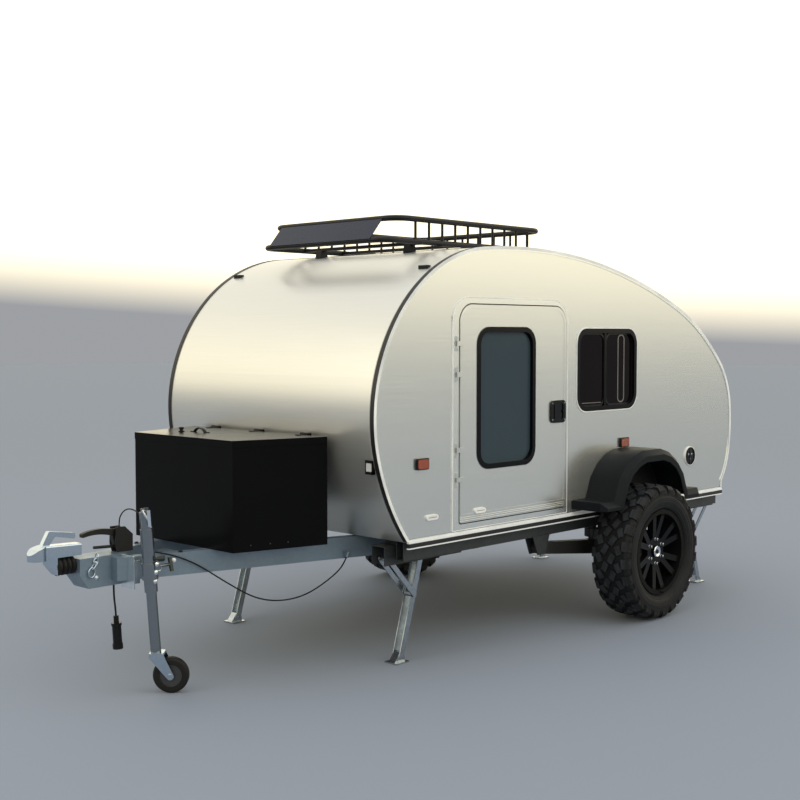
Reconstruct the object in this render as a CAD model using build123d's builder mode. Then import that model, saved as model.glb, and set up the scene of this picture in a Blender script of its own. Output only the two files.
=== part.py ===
from build123d import *
import os
from math import acos, atan2, cos, degrees, hypot, pi, radians, sin, tan

os.makedirs("parts", exist_ok=True)

# A teardrop trailer for two, in millimetres.
# +X is the direction of travel, +Y the trailer's left, +Z up.
# The origin is on the ground, under the middle of the whole trailer.

# Body shell
toe_x = 765.76  # front bottom corner of the body
body_bottom = 630.0  # underside of the body above the ground
body_width = 1615.0
wall_t = 32.0  # side walls and door leaves
skin_t = 30.0  # front, roof and hatch
bulkhead_t = 18.0
fit_gap = 0.3  # between pieces that rest side by side
run_gap = 6.0  # round doors, lids and the hatch
pin_gap = 0.05  # round pins and shafts

# Side outline from the toe round to the heel, as arcs that run on smoothly.
# Columns: x from the toe, height above the underside of the body.
outline_start_deg = 51.4
outline_table = (
    (208, 419),
    (205, 804),
    (-49, 1223),
    (-573, 1454),
    (-1343, 1446),
    (-2428, 1177),
    (-2950, 835),
    (-3087, 552),
    (-3081, 274),
    (-2987, 55),
)
heel_tuck = 3.0
heel_x = toe_x + outline_table[-1][0] + heel_tuck

# Where the body's skin is divided
roof_joint_x = toe_x - 600.0
hatch_hinge_x = toe_x - 1950.0
hatch_sill = 175.0  # lower edge of the hatch above the body's underside

# Trim along the edges of the side walls
trim_proud = 3.0
trim_w = 14.0
trim_return = 24.0
bead_w = 8.0
sill_h = 36.0
sill_t = 9.0

# Doors, one a side
door_front = toe_x - 372.0
door_length = 890.0
door_bottom = 685.0
door_height = 1105.0
door_corner_r = 95.0
door_foot_r = 12.0
door_proud = 8.0
frame_proud = 5.0
frame_front = 52.0  # width of the frame beside the hinges
frame_rear = 14.0
frame_top = 30.0
frame_foot = 30.0
door_lining_t = 3.0
door_hinge_x = toe_x - 347.0
door_hinge_out = 12.0  # hinge axis outside the wall's face
door_knuckle_r = 5.0
door_pin_r = 2.5
door_hinge_heights = (907.0, 1057.0, 1437.0, 1593.0)
door_knuckle = 25.0

# Door window
door_window_rear = toe_x - 985.0
door_window_length = 481.0
door_window_bottom = 945.0
door_window_height = 733.0
window_r = 92.0
window_rim = 26.0
window_proud = 5.0
window_lining_t = 8.0
glass_t = 5.0

# Side window, with one sliding pane
side_window_rear = toe_x - 1971.0
side_window_length = 597.0
side_window_bottom = 1205.0
side_window_height = 468.0
sash_bar = 22.0

# Door handle and catches
handle_rear = toe_x - 1252.0
handle_length = 135.0
handle_bottom = 1155.0
handle_height = 124.0
handle_t = 9.0
handle_r = 28.0
catch_z = 738.0
catch_length = 84.0
catch_h = 26.0
catch_t = 10.0
catch_reach = 178.0  # from the door's hinge to each half of the catch

# Lamps and the inlet on the side walls
amber_table = (-96.0, -1842.0)  # x of the side lamps from the toe
amber_z = 1007.0
amber_size = 74.0
amber_t = 16.0
inlet_x = toe_x - 2584.0
inlet_z = 875.0
inlet_r = 60.0
inlet_ring = 9.0

# Chassis
rail_inset = 72.5  # from the body's side to the rail's middle
rail_y = body_width / 2 - rail_inset
rail_w = 50.0
rail_h = 100.0
rail_front = toe_x - 20.0
rail_rear = toe_x - 3000.0
tube_t = 4.0
cross_w = 50.0
cross_h = 60.0
hitch_cross_x = toe_x - 620.0  # the cross tube that ends the drawbar
cross_table = (-1300.0, -2480.0)  # x of the other cross tubes from the toe
rear_beam_x = toe_x - 3000.0
rear_beam_t = 40.0
rear_beam_h = 46.0
rear_beam_inset = 47.5
rear_beam_half = body_width / 2 - rear_beam_inset
rear_face = rear_beam_x - rear_beam_t
tail_lamp_length = 210.0
tail_lamp_t = 14.0
tail_lamp_h = 34.0
tail_lamp_y = rear_beam_half - tail_lamp_length / 2 - 12.0

# Drawbar
drawbar_h = 106.0
drawbar_w = 50.0
drawbar_top = body_bottom - 8.0
drawbar_front = toe_x + 1180.0
drawbar_front_half = 106.0  # outer half width of the A at its front
drawbar_slope = 0.28

# Coupling
nose_x = toe_x + 1565.0
ball_r = 25.0
socket_gap = 0.5
coupling_z = 660.0
head_box_front = toe_x + 1345.0
head_box_rear = toe_x + 1100.0
head_box_half = 62.0
head_box_bottom = 492.0

# Road wheels
axle_x = toe_x - 1842.0
wheel_r = 387.5
tyre_width = 250.0
tyre_inset = 35.0  # from the body's side to the tyre
rim_seat_r = 228.5
rim_lip_r = 247.5
rim_lip_t = 10.0
bead_half = 96.0
barrel_t = 8.0
hub_r = 34.0
stub_r = 20.0
spoke_pairs = 6
wheel_y = body_width / 2 + tyre_inset + tyre_width / 2

# Suspension
arm_pivot_x = toe_x - 1117.0
arm_pivot_z = 462.0
arm_w = 50.0
arm_h = 64.0

# Mudguards
guard_width = 225.0
guard_t = 6.0
guard_top = 975.0
guard_knee = 378.0
guard_knee_z = 712.0
# Columns: half length, height of each corner of the arch from its flat top to its knee
guard_table = (
    (95.0, guard_top),
    (185.0, 950.0),
    (265.0, 902.0),
    (328.0, 830.0),
    (guard_knee, guard_knee_z),
)
guard_foot = 512.0
guard_foot_t = 50.0
guard_band = 66.0

# Tongue box
box_front = toe_x + 739.0
box_rear = toe_x + 262.0
box_front_half = 391.0
box_rear_half = 520.0
box_top = 1112.0
box_wall = 4.0
lid_t = 4.0
lid_skirt = 34.0
lid_hinge_table = (-355.0, 0.0, 355.0)
lid_handle_x = toe_x + 515.0
lid_handle_y = -150.0
lid_handle_w = 16.0

# Jockey wheel
jockey_y = 222.0
jockey_x = toe_x + 1040.0  # the post's axis at the ground
jockey_lean_deg = 4.5
jockey_outer_r = 30.0
jockey_inner_r = 24.0
jockey_tube_top = 838.0
jockey_tube_bottom = 470.0
jockey_wheel_r = 82.5
jockey_wheel_w = 44.0
jockey_trail = 62.0
jockey_swivel_deg = 46.0
jockey_axle_r = 8.0

# Stabiliser legs
leg_inset = 162.5  # from the body's side to the leg's middle
leg_y = body_width / 2 - leg_inset
leg_pivot_z = 530.0
leg_arm = 207.0  # from the leg's top pin to the stay's pin
stay_length = 270.0
leg_lean_deg = 16.0
leg_w = 50.0
leg_depth = 34.0
leg_t = 4.0
stay_w = 26.0
stay_t = 5.0
leg_pin_r = 6.0
leg_rail_half = 45.0
leg_rail_t = 5.0
leg_rail_bottom = 505.0
leg_rail_top = 602.0
rear_beam_bottom = leg_rail_top + 2.3
front_stay_x = toe_x - 5.0
rear_stay_x = toe_x - 3040.0

# Roof rack
rack_low_front = toe_x - 172.0
rack_high_front = toe_x - 262.0
rack_rear = toe_x - 1470.0
rack_half = 484.0
rack_rise = 21.2  # lower ring above the top of the roof
rack_height = 116.0  # between the two rings
rack_tube_r = 15.0
rack_bar_r = 7.0
rack_corner_r = 90.0
rack_bar_pitch = 104.0
rack_bars = 10
rack_foot_y = 345.0
rack_foot_gap = 0.8

half_width = body_width / 2
inner_half = half_width - wall_t
deep_cut = 400.0


def side_plane(y):
    """A sketch plane at this y, with x forward and z up."""
    return Plane.XZ.offset(-y)


def save(block, name):
    """Label the finished piece and write it."""
    block.part.label = name
    export_step(block.part, f"parts/{name}.step")


def door_shape(grow, mode=Mode.ADD):
    """The door's outline in x and z: round above, nearly square below."""
    length = door_length + 2 * grow
    height = door_height + 2 * grow
    corner = door_corner_r + grow
    middle = door_front - door_length / 2
    with Locations((middle, door_bottom - grow + height / 2)):
        RectangleRounded(length, height, corner, mode=mode)
    lower = height - corner
    with Locations((middle, door_bottom - grow + lower / 2)):
        RectangleRounded(length, lower, door_foot_r + grow, mode=mode)


def window_shape(rear, bottom, length, height, shrink, mode=Mode.ADD):
    """A window's outline in x and z, drawn in from its rim by shrink."""
    with Locations((rear + length / 2, bottom + height / 2)):
        RectangleRounded(length - 2 * shrink, height - 2 * shrink, window_r - shrink, mode=mode)


door_window = (door_window_rear, door_window_bottom, door_window_length, door_window_height)
side_window = (side_window_rear, side_window_bottom, side_window_length, side_window_height)

# Outline of the body, kept flat as x and z
with BuildSketch() as outline:
    with BuildLine():
        here = (toe_x, body_bottom)
        heading = (cos(radians(outline_start_deg)), sin(radians(outline_start_deg)))
        for ahead, up in outline_table:
            there = (toe_x + ahead, body_bottom + up)
            arc = TangentArc(here, there, tangent=heading)
            heading = arc % 1
            here = there
        Polyline(here, (heel_x, body_bottom), (toe_x, body_bottom))
    make_face()

with BuildSketch() as cavity:
    add(outline.sketch)
    offset(amount=-skin_t, kind=Kind.INTERSECTION)

outline_box = outline.sketch.bounding_box()
rack_low_z = outline_box.max.Y + rack_rise
rack_high_z = rack_low_z + rack_height
cavity_floor = cavity.sketch.edges().filter_by(Axis.X).sort_by(Axis.Y)[0]
cavity_front = max(v.X for v in cavity_floor.vertices())
cavity_rear = min(v.X for v in cavity_floor.vertices())


def outline_at(x):
    """Height of the body's upper outline at this x."""
    probe = Edge.make_line((x, body_bottom + skin_t, 0), (x, outline_box.max.Y + skin_t, 0))
    hits = [p for e in outline.sketch.edges() for p in e.find_intersection_points(probe)]
    return max(p.Y for p in hits)


def front_at(z):
    """How far forward the body's outline reaches at this height."""
    probe = Edge.make_line((toe_x - deep_cut, z, 0), (outline_box.max.X + skin_t, z, 0))
    hits = [p for e in outline.sketch.edges() for p in e.find_intersection_points(probe)]
    return max(p.X for p in hits)


def rear_at(z):
    """How far back the body's outline reaches at this height."""
    probe = Edge.make_line((heel_x + deep_cut, z, 0), (outline_box.min.X - skin_t, z, 0))
    hits = [p for e in outline.sketch.edges() for p in e.find_intersection_points(probe)]
    return min(p.X for p in hits)


hatch_hinge_r = 6.0
hatch_leaf = 44.0
roof_slope = atan2(outline_at(hatch_hinge_x + 20.0) - outline_at(hatch_hinge_x), 20.0)
hatch_hinge_z = outline_at(hatch_hinge_x) + (hatch_hinge_r + fit_gap) / cos(roof_slope)
hatch_bottom = body_bottom + hatch_sill


def span(x0, x1, z0, z1, mode=Mode.ADD):
    """A rectangle from x0 to x1 and z0 to z1 in a side sketch."""
    with Locations(((x0 + x1) / 2, (z0 + z1) / 2)):
        Rectangle(abs(x1 - x0), abs(z1 - z0), mode=mode)


# Side walls, with the door and window openings
for side, name in ((1, "left"), (-1, "right")):
    with BuildPart() as side_wall:
        with BuildSketch(side_plane(half_width)):
            add(outline.sketch)
            door_shape(run_gap + door_lining_t, Mode.SUBTRACT)
            window_shape(*side_window, window_rim - window_lining_t, Mode.SUBTRACT)
        extrude(amount=wall_t)
        if side < 0:
            mirror(about=Plane.XZ, mode=Mode.REPLACE)
    save(side_wall, f"side_wall_{name}")


def skin_zone(*zones):
    """A stretch of the skin in section: the outline's rim inside the given zones."""
    with BuildSketch() as zone:
        for x0, x1, z0, z1 in zones:
            span(x0, x1, z0, z1)
    with BuildSketch(Plane.XZ) as stretch:
        add(outline.sketch)
        add(cavity.sketch, mode=Mode.SUBTRACT)
        add(zone.sketch, mode=Mode.INTERSECT)
    return stretch.sketch


# Floor, front, roof and the fixed panel below the hatch
beyond = 200.0
body_mid_z = body_bottom + 700.0
with BuildPart() as cabin_floor:
    extrude(
        skin_zone((cavity_rear, cavity_front, body_bottom, body_bottom + skin_t)),
        amount=inner_half,
        both=True,
    )
save(cabin_floor, "cabin_floor")

with BuildPart() as front_skin:
    extrude(
        skin_zone(
            (cavity_front, outline_box.max.X + beyond, body_bottom, body_mid_z),
            (roof_joint_x, outline_box.max.X + beyond, body_mid_z, outline_box.max.Y + beyond),
        ),
        amount=inner_half,
        both=True,
    )
save(front_skin, "front_skin")

with BuildPart() as roof_skin:
    extrude(
        skin_zone((hatch_hinge_x + run_gap, roof_joint_x, body_mid_z, outline_box.max.Y + beyond)),
        amount=inner_half,
        both=True,
    )
save(roof_skin, "roof_skin")

with BuildPart() as rear_panel:
    extrude(
        skin_zone((outline_box.min.X - beyond, cavity_rear, body_bottom, hatch_bottom - run_gap)),
        amount=inner_half,
        both=True,
    )
save(rear_panel, "rear_panel")

# Rear hatch with its two pulls, hinged at its upper front edge
hatch_handle_z = hatch_bottom + 70.0
hatch_handle_y = 420.0
with BuildPart() as hatch:
    extrude(
        skin_zone(
            (outline_box.min.X - beyond, hatch_hinge_x, body_mid_z, outline_box.max.Y + beyond),
            (outline_box.min.X - beyond, cavity_rear, hatch_bottom, body_mid_z),
        ),
        amount=inner_half - run_gap,
        both=True,
    )
    for y in (-hatch_handle_y, hatch_handle_y):
        with Locations((rear_at(hatch_handle_z), y, hatch_handle_z)):
            Box(20.0, 110.0, 44.0)
    # Round barrel of the hinge and the leaf that carries it
    with Locations((hatch_hinge_x, 0, hatch_hinge_z)):
        Cylinder(hatch_hinge_r, 2 * (inner_half - run_gap), rotation=(90, 0, 0))
    with BuildSketch(Plane.XZ):
        with BuildLine():
            Polyline(
                (hatch_hinge_x, hatch_hinge_z),
                (hatch_hinge_x, hatch_hinge_z - hatch_hinge_r),
                (hatch_hinge_x - hatch_leaf, outline_at(hatch_hinge_x - hatch_leaf) - 1.0),
                (hatch_hinge_x - hatch_leaf, outline_at(hatch_hinge_x - hatch_leaf) + 2.0),
                close=True,
            )
        make_face()
    extrude(amount=inner_half - run_gap, both=True)
save(hatch, "hatch")


# Trim round the edge of each side wall, and the strip over the joint in the roof
seam_half = 14.0
seam_t = 3.0


def rim_band(outer, inner, low):
    """The outline drawn out by outer, less the outline drawn in by inner, above low."""
    with BuildSketch() as inside:
        add(outline.sketch)
        if inner > 0:
            offset(amount=-inner, kind=Kind.INTERSECTION)
    with BuildSketch() as band:
        add(outline.sketch)
        offset(amount=outer, kind=Kind.INTERSECTION)
        add(inside.sketch, mode=Mode.SUBTRACT)
        span(-deep_cut * 10, deep_cut * 10, 0, low, Mode.SUBTRACT)
    return band.sketch


with BuildPart() as edge_trims:
    with BuildSketch(side_plane(half_width + trim_proud)):
        add(rim_band(trim_proud, trim_w, body_bottom + trim_proud))
    extrude(amount=trim_proud)
    with BuildSketch(side_plane(half_width)):
        add(rim_band(trim_proud, 0, body_bottom + trim_proud))
    extrude(amount=trim_return)
    mirror(about=Plane.XZ)
    with BuildSketch(Plane.XZ):
        add(rim_band(seam_t, 0, body_mid_z))
        span(roof_joint_x - seam_half, roof_joint_x + seam_half, 0, deep_cut * 10, Mode.INTERSECT)
    extrude(amount=half_width - trim_return, both=True)
save(edge_trims, "edge_trims")

# White bead inside the trim, and the sill along the foot of each side wall
sill_top = body_bottom + trim_proud
with BuildPart() as beads_and_sills:
    with BuildSketch(side_plane(half_width + trim_proud)):
        add(rim_band(-trim_w, trim_w + bead_w, body_bottom + trim_w + bead_w))
    extrude(amount=trim_proud)
    with BuildSketch(side_plane(half_width + sill_t)):
        span(heel_x, toe_x, sill_top - sill_h, sill_top)
    extrude(amount=sill_t)
    with BuildSketch(side_plane(half_width)):
        span(heel_x, toe_x, sill_top - sill_h, body_bottom)
    extrude(amount=wall_t - rail_w / 2)
    mirror(about=Plane.XZ)
save(beads_and_sills, "beads_and_sills")

# Doors
window_mid_y = half_width - wall_t / 2
for side, name in ((1, "left"), (-1, "right")):
    # Frame: a flange on the wall and a lining in the opening
    with BuildPart() as door_frame:
        frame_rear_x = door_front - door_length - run_gap - frame_rear
        frame_front_x = door_hinge_x + frame_front - 25.0
        frame_top_z = door_bottom + door_height + run_gap + frame_top
        frame_foot_z = door_bottom - run_gap - frame_foot
        with BuildSketch(side_plane(half_width + frame_proud)):
            span(frame_rear_x, frame_front_x, frame_foot_z, frame_top_z - door_corner_r)
            with Locations(((frame_rear_x + frame_front_x) / 2, frame_top_z - door_corner_r * 1.5)):
                RectangleRounded(
                    frame_front_x - frame_rear_x, door_corner_r * 3, door_corner_r + frame_top
                )
            door_shape(run_gap, Mode.SUBTRACT)
        extrude(amount=frame_proud)
        with BuildSketch(side_plane(half_width)):
            door_shape(run_gap + door_lining_t)
            door_shape(run_gap, Mode.SUBTRACT)
        extrude(amount=wall_t)
        # Outer knuckles of the hinges, with the pins
        for z in door_hinge_heights:
            with Locations((door_hinge_x, half_width + door_hinge_out, z)):
                Cylinder(door_pin_r, 3 * door_knuckle)
            for up in (-1, 1):
                with Locations((door_hinge_x, half_width + door_hinge_out, z + up * door_knuckle)):
                    Cylinder(door_knuckle_r, door_knuckle - 1.0)
                    with Locations((2.0, -(door_hinge_out - frame_proud) / 2, 0)):
                        Box(6.0, door_hinge_out - frame_proud, door_knuckle - 1.0)
        if side < 0:
            mirror(about=Plane.XZ, mode=Mode.REPLACE)
    save(door_frame, f"door_frame_{name}")

    # Leaf, with the middle knuckle of each hinge on a strap
    with BuildPart() as door_leaf:
        with BuildSketch(side_plane(half_width + door_proud)):
            door_shape(0)
            window_shape(*door_window, window_rim - window_lining_t, Mode.SUBTRACT)
        extrude(amount=wall_t + door_proud)
        for z in door_hinge_heights:
            strap_t = door_hinge_out + 2.0 - door_proud
            strap_end = door_front - 30.0
            with BuildSketch(side_plane(half_width + door_hinge_out + 2.0)):
                span(strap_end, door_hinge_x, z - door_knuckle / 2 + 0.5, z + door_knuckle / 2 - 0.5)
            extrude(amount=strap_t)
            with Locations((door_hinge_x, half_width + door_hinge_out, z)):
                Cylinder(door_knuckle_r, door_knuckle - 1.0)
                Cylinder(door_pin_r + pin_gap, door_knuckle * 2, mode=Mode.SUBTRACT)
        if side < 0:
            mirror(about=Plane.XZ, mode=Mode.REPLACE)
    save(door_leaf, f"door_{name}")

    # Window rim, handle and catch on the leaf, then the pane
    with BuildPart() as door_fittings:
        with BuildSketch(side_plane(half_width + door_proud + window_proud)):
            window_shape(*door_window, 0)
            window_shape(*door_window, window_rim, Mode.SUBTRACT)
        extrude(amount=window_proud)
        with BuildSketch(side_plane(half_width + door_proud)):
            window_shape(*door_window, window_rim - window_lining_t)
            window_shape(*door_window, window_rim, Mode.SUBTRACT)
        extrude(amount=wall_t + door_proud)
        # Handle: a plate with a hand recess and a paddle
        middle = (handle_rear + handle_length / 2, handle_bottom + handle_height / 2)
        with BuildSketch(side_plane(half_width + door_proud + handle_t)):
            with Locations(middle):
                RectangleRounded(handle_length, handle_height, handle_r)
        extrude(amount=handle_t)
        with BuildSketch(side_plane(half_width + door_proud + handle_t)):
            with Locations(middle):
                RectangleRounded(handle_length * 0.66, handle_height * 0.7, handle_r * 0.6)
        extrude(amount=handle_t * 0.6, mode=Mode.SUBTRACT)
        with BuildSketch(side_plane(half_width + door_proud + handle_t)):
            with Locations((middle[0] + handle_length * 0.08, middle[1])):
                RectangleRounded(handle_length * 0.36, handle_height * 0.6, handle_r * 0.4)
        extrude(amount=handle_t * 0.8)
        # The door's half of its catch
        with BuildSketch(side_plane(half_width + door_proud)):
            with Locations((door_hinge_x - catch_reach, catch_z)):
                SlotOverall(catch_length, catch_h)
        extrude(amount=-catch_t)
        if side < 0:
            mirror(about=Plane.XZ, mode=Mode.REPLACE)
    save(door_fittings, f"door_fittings_{name}")

    with BuildPart() as door_glass:
        with BuildSketch(side_plane(window_mid_y + glass_t / 2 + door_proud)):
            window_shape(*door_window, window_rim)
        extrude(amount=glass_t)
        if side < 0:
            mirror(about=Plane.XZ, mode=Mode.REPLACE)
    save(door_glass, f"door_glass_{name}")

# Side windows: rim, lining and sash bars, then the panes
with BuildPart() as side_windows:
    with BuildSketch(side_plane(half_width + window_proud)):
        window_shape(*side_window, 0)
        window_shape(*side_window, window_rim, Mode.SUBTRACT)
    extrude(amount=window_proud)
    with BuildSketch(side_plane(half_width)):
        window_shape(*side_window, window_rim - window_lining_t)
        window_shape(*side_window, window_rim, Mode.SUBTRACT)
    extrude(amount=wall_t)
    sash_x = side_window_rear + side_window_length * 0.52
    with BuildSketch(side_plane(window_mid_y + sash_bar / 2)):
        span(
            sash_x - sash_bar / 2,
            sash_x + sash_bar / 2,
            side_window_bottom + window_rim,
            side_window_bottom + side_window_height - window_rim,
        )
    extrude(amount=sash_bar)
    mirror(about=Plane.XZ)
save(side_windows, "side_windows")

with BuildPart() as side_glass:
    with BuildSketch(side_plane(window_mid_y + glass_t / 2)):
        window_shape(*side_window, window_rim)
        span(sash_x - sash_bar / 2, sash_x + sash_bar / 2, 0, deep_cut * 10, Mode.SUBTRACT)
    extrude(amount=glass_t)
    mirror(about=Plane.XZ)
save(side_glass, "side_glass")

# Side lamps on the walls and white markers on the front skin
marker_z = 1009.0
marker_y = 753.0
marker_w = 44.0
marker_h = 58.0
marker_t = 14.0
with BuildPart() as lamps:
    with BuildSketch(Plane.YZ.offset(front_at(marker_z) - marker_t)):
        with Locations((marker_y, marker_z)):
            RectangleRounded(marker_w, marker_h, 8.0)
    extrude(amount=2 * marker_t)
    with BuildSketch(Plane.XZ):
        add(outline.sketch)
    extrude(amount=half_width, both=True, mode=Mode.SUBTRACT)
    with BuildSketch(side_plane(half_width)):
        with Locations(*[(toe_x + x, amber_z) for x in amber_table]):
            RectangleRounded(amber_size, amber_size * 0.62, 8.0)
    extrude(amount=-amber_t)
    # Tail lamps on the rear beam
    with Locations((rear_face - tail_lamp_t / 2, tail_lamp_y, rear_beam_bottom + rear_beam_h / 2)):
        Box(tail_lamp_t, tail_lamp_length, tail_lamp_h)
    mirror(about=Plane.XZ)
save(lamps, "lamps")

# Fixed halves of the door catches, hooks at the roof's front corners,
# and the inlet low on the left wall: a ring round a recessed cap
hook_x = toe_x - 205.0
hook_y = 726.0
hook_length = 60.0
with BuildPart() as wall_fittings:
    with BuildSketch(side_plane(hook_y + hook_length / 2)):
        with Locations((hook_x, outline_at(hook_x))):
            Rectangle(26.0, 24.0)
    extrude(amount=hook_length)
    with BuildSketch(Plane.XZ):
        add(outline.sketch)
    extrude(amount=half_width, both=True, mode=Mode.SUBTRACT)
    with BuildSketch(side_plane(half_width)):
        with Locations((door_hinge_x + catch_reach, catch_z)):
            SlotOverall(catch_length, catch_h)
    extrude(amount=-catch_t)
    mirror(about=Plane.XZ)
    with BuildSketch(side_plane(half_width)):
        with Locations((inlet_x, inlet_z)):
            Circle(inlet_r)
    extrude(amount=-8.0)
    with BuildSketch(side_plane(half_width + 8.0)):
        with Locations((inlet_x, inlet_z)):
            Circle(inlet_r - inlet_ring)
            Rectangle(12.0, 2 * (inlet_r - inlet_ring), mode=Mode.SUBTRACT)
    extrude(amount=4.0, mode=Mode.SUBTRACT)
save(wall_fittings, "wall_fittings")

# Inside: mattress, bulkhead, galley counter and shelf
floor_top = body_bottom + skin_t
bulkhead_x = toe_x - 2170.0
mattress_t = 110.0
mattress_side_gap = 30.5
mattress_half = inner_half - mattress_side_gap
mattress_front = toe_x - 130.0
mattress_gap = 12.0
with BuildPart() as mattress:
    with BuildSketch(Plane.XY.offset(floor_top + fit_gap)):
        with Locations(((mattress_front + bulkhead_x + mattress_gap) / 2, 0)):
            RectangleRounded(mattress_front - bulkhead_x - mattress_gap, 2 * mattress_half, 60.0)
    extrude(amount=mattress_t)
save(mattress, "mattress")

counter_z = body_bottom + 480.0
counter_t = 24.0
counter_depth = 470.0
cupboard_t = 16.0
cupboard_z = body_bottom + 860.0
counter_rear = bulkhead_x - bulkhead_t - counter_depth
with BuildPart() as galley:
    with BuildSketch(mode=Mode.PRIVATE) as bulkhead_face:
        add(outline.sketch)
        offset(amount=-skin_t - fit_gap, kind=Kind.INTERSECTION)
        span(bulkhead_x - bulkhead_t, bulkhead_x, 0, deep_cut * 10, Mode.INTERSECT)
    with BuildSketch(Plane.XZ):
        add(bulkhead_face.sketch)
    extrude(amount=inner_half - fit_gap, both=True)
    counter_half = inner_half - run_gap
    counter_mid = bulkhead_x - bulkhead_t - counter_depth / 2
    with Locations((counter_mid, 0, counter_z - counter_t / 2)):
        Box(counter_depth, 2 * counter_half, counter_t)
    front_h = counter_z - counter_t - floor_top - fit_gap
    for y in (-counter_half + cupboard_t / 2, 0, counter_half - cupboard_t / 2):
        with Locations((counter_mid, y, floor_top + fit_gap + front_h / 2)):
            Box(counter_depth, cupboard_t, front_h)
    with Locations((counter_mid + counter_depth / 4, 0, cupboard_z)):
        Box(counter_depth / 2, 2 * counter_half, cupboard_t)
save(galley, "galley")

# Chassis: two rails under the floor, cross tubes between them and the rear beam
cross_half = rail_y - rail_w / 2
rail_bottom = body_bottom - rail_h
arm_in = rail_y - arm_w / 2
arm_out = rail_y + arm_w / 2
bracket_t = 6.0
with BuildPart() as chassis:
    for side in (-1, 1):
        with BuildSketch(Plane.YZ.offset(rail_rear)):
            with Locations((side * rail_y, body_bottom - rail_h / 2)):
                Rectangle(rail_w, rail_h)
                Rectangle(rail_w - 2 * tube_t, rail_h - 2 * tube_t, mode=Mode.SUBTRACT)
        extrude(amount=rail_front - rail_rear)
    for x in cross_table:
        with Locations((toe_x + x, 0, body_bottom - cross_h / 2)):
            Box(cross_w, 2 * cross_half, cross_h)
    hitch_cross_h = body_bottom - drawbar_top + drawbar_h
    with Locations((hitch_cross_x, 0, body_bottom - hitch_cross_h / 2)):
        Box(cross_w, 2 * cross_half, hitch_cross_h)
    # Cheeks that hold the trailing arms
    for side in (-1, 1):
        for y in (arm_in, arm_out + bracket_t):
            with BuildSketch(side_plane(y if side > 0 else bracket_t - y)):
                with BuildLine():
                    Polyline(
                        (arm_pivot_x - 70.0, rail_bottom),
                        (arm_pivot_x - 34.0, arm_pivot_z - 34.0),
                        (arm_pivot_x + 34.0, arm_pivot_z - 34.0),
                        (arm_pivot_x + 76.0, rail_bottom),
                        close=True,
                    )
                make_face()
            extrude(amount=bracket_t)
            with Locations((arm_pivot_x, side * (y - bracket_t / 2), rail_bottom + 2.0)):
                Box(164.0, bracket_t, 4.0)
save(chassis, "chassis_frame")

# Rear beam, with a blank number plate
plate_w = 440.0
plate_h = 120.0
plate_t = 4.0
with BuildPart() as rear_beam:
    with Locations((rear_beam_x - rear_beam_t / 2, 0, rear_beam_bottom + rear_beam_h / 2)):
        Box(rear_beam_t, 2 * rear_beam_half, rear_beam_h)
    fillet(rear_beam.edges().filter_by(Axis.Y).group_by(Axis.X)[0], radius=8.0)
    with Locations((rear_face - plate_t / 2, 0, rear_beam_bottom + rear_beam_h - plate_h / 2 - 9.0)):
        Box(plate_t, plate_w, plate_h)
save(rear_beam, "rear_beam")

# Drawbar: two beams that meet the coupling's box, with a gusset and pads under the floor
beam_rear = hitch_cross_x + cross_w / 2


def beam_outer(x):
    """Outer half width of the drawbar at this x."""
    return drawbar_front_half + drawbar_slope * (drawbar_front - x)


# Cable that sags beside the left beam of the drawbar, from clip to clip
beam_cord_r = 3.5
beam_cord_route = (
    (toe_x + 1022.0, 138.0, 637.0),
    (toe_x + 985.0, 174.0, 629.0),
    (toe_x + 930.0, 192.0, 613.0),
    (toe_x + 859.0, 211.0, 582.0),
    (toe_x + 790.0, 231.0, 541.0),
    (toe_x + 720.0, 250.0, 490.0),
    (toe_x + 655.0, 268.0, 445.0),
    (toe_x + 590.0, 287.0, 402.0),
    (toe_x + 530.0, 304.0, 370.0),
    (toe_x + 465.0, 321.0, 350.0),
    (toe_x + 400.0, 339.0, 342.0),
    (toe_x + 335.0, 357.0, 345.0),
    (toe_x + 272.0, 375.0, 359.0),
    (toe_x + 212.0, 392.0, 385.0),
    (toe_x + 158.0, 408.0, 417.0),
    (toe_x + 110.0, 422.0, 450.0),
    (toe_x + 74.0, 432.0, 486.0),
    (toe_x + 56.0, 437.0, 524.0),
)
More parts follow.
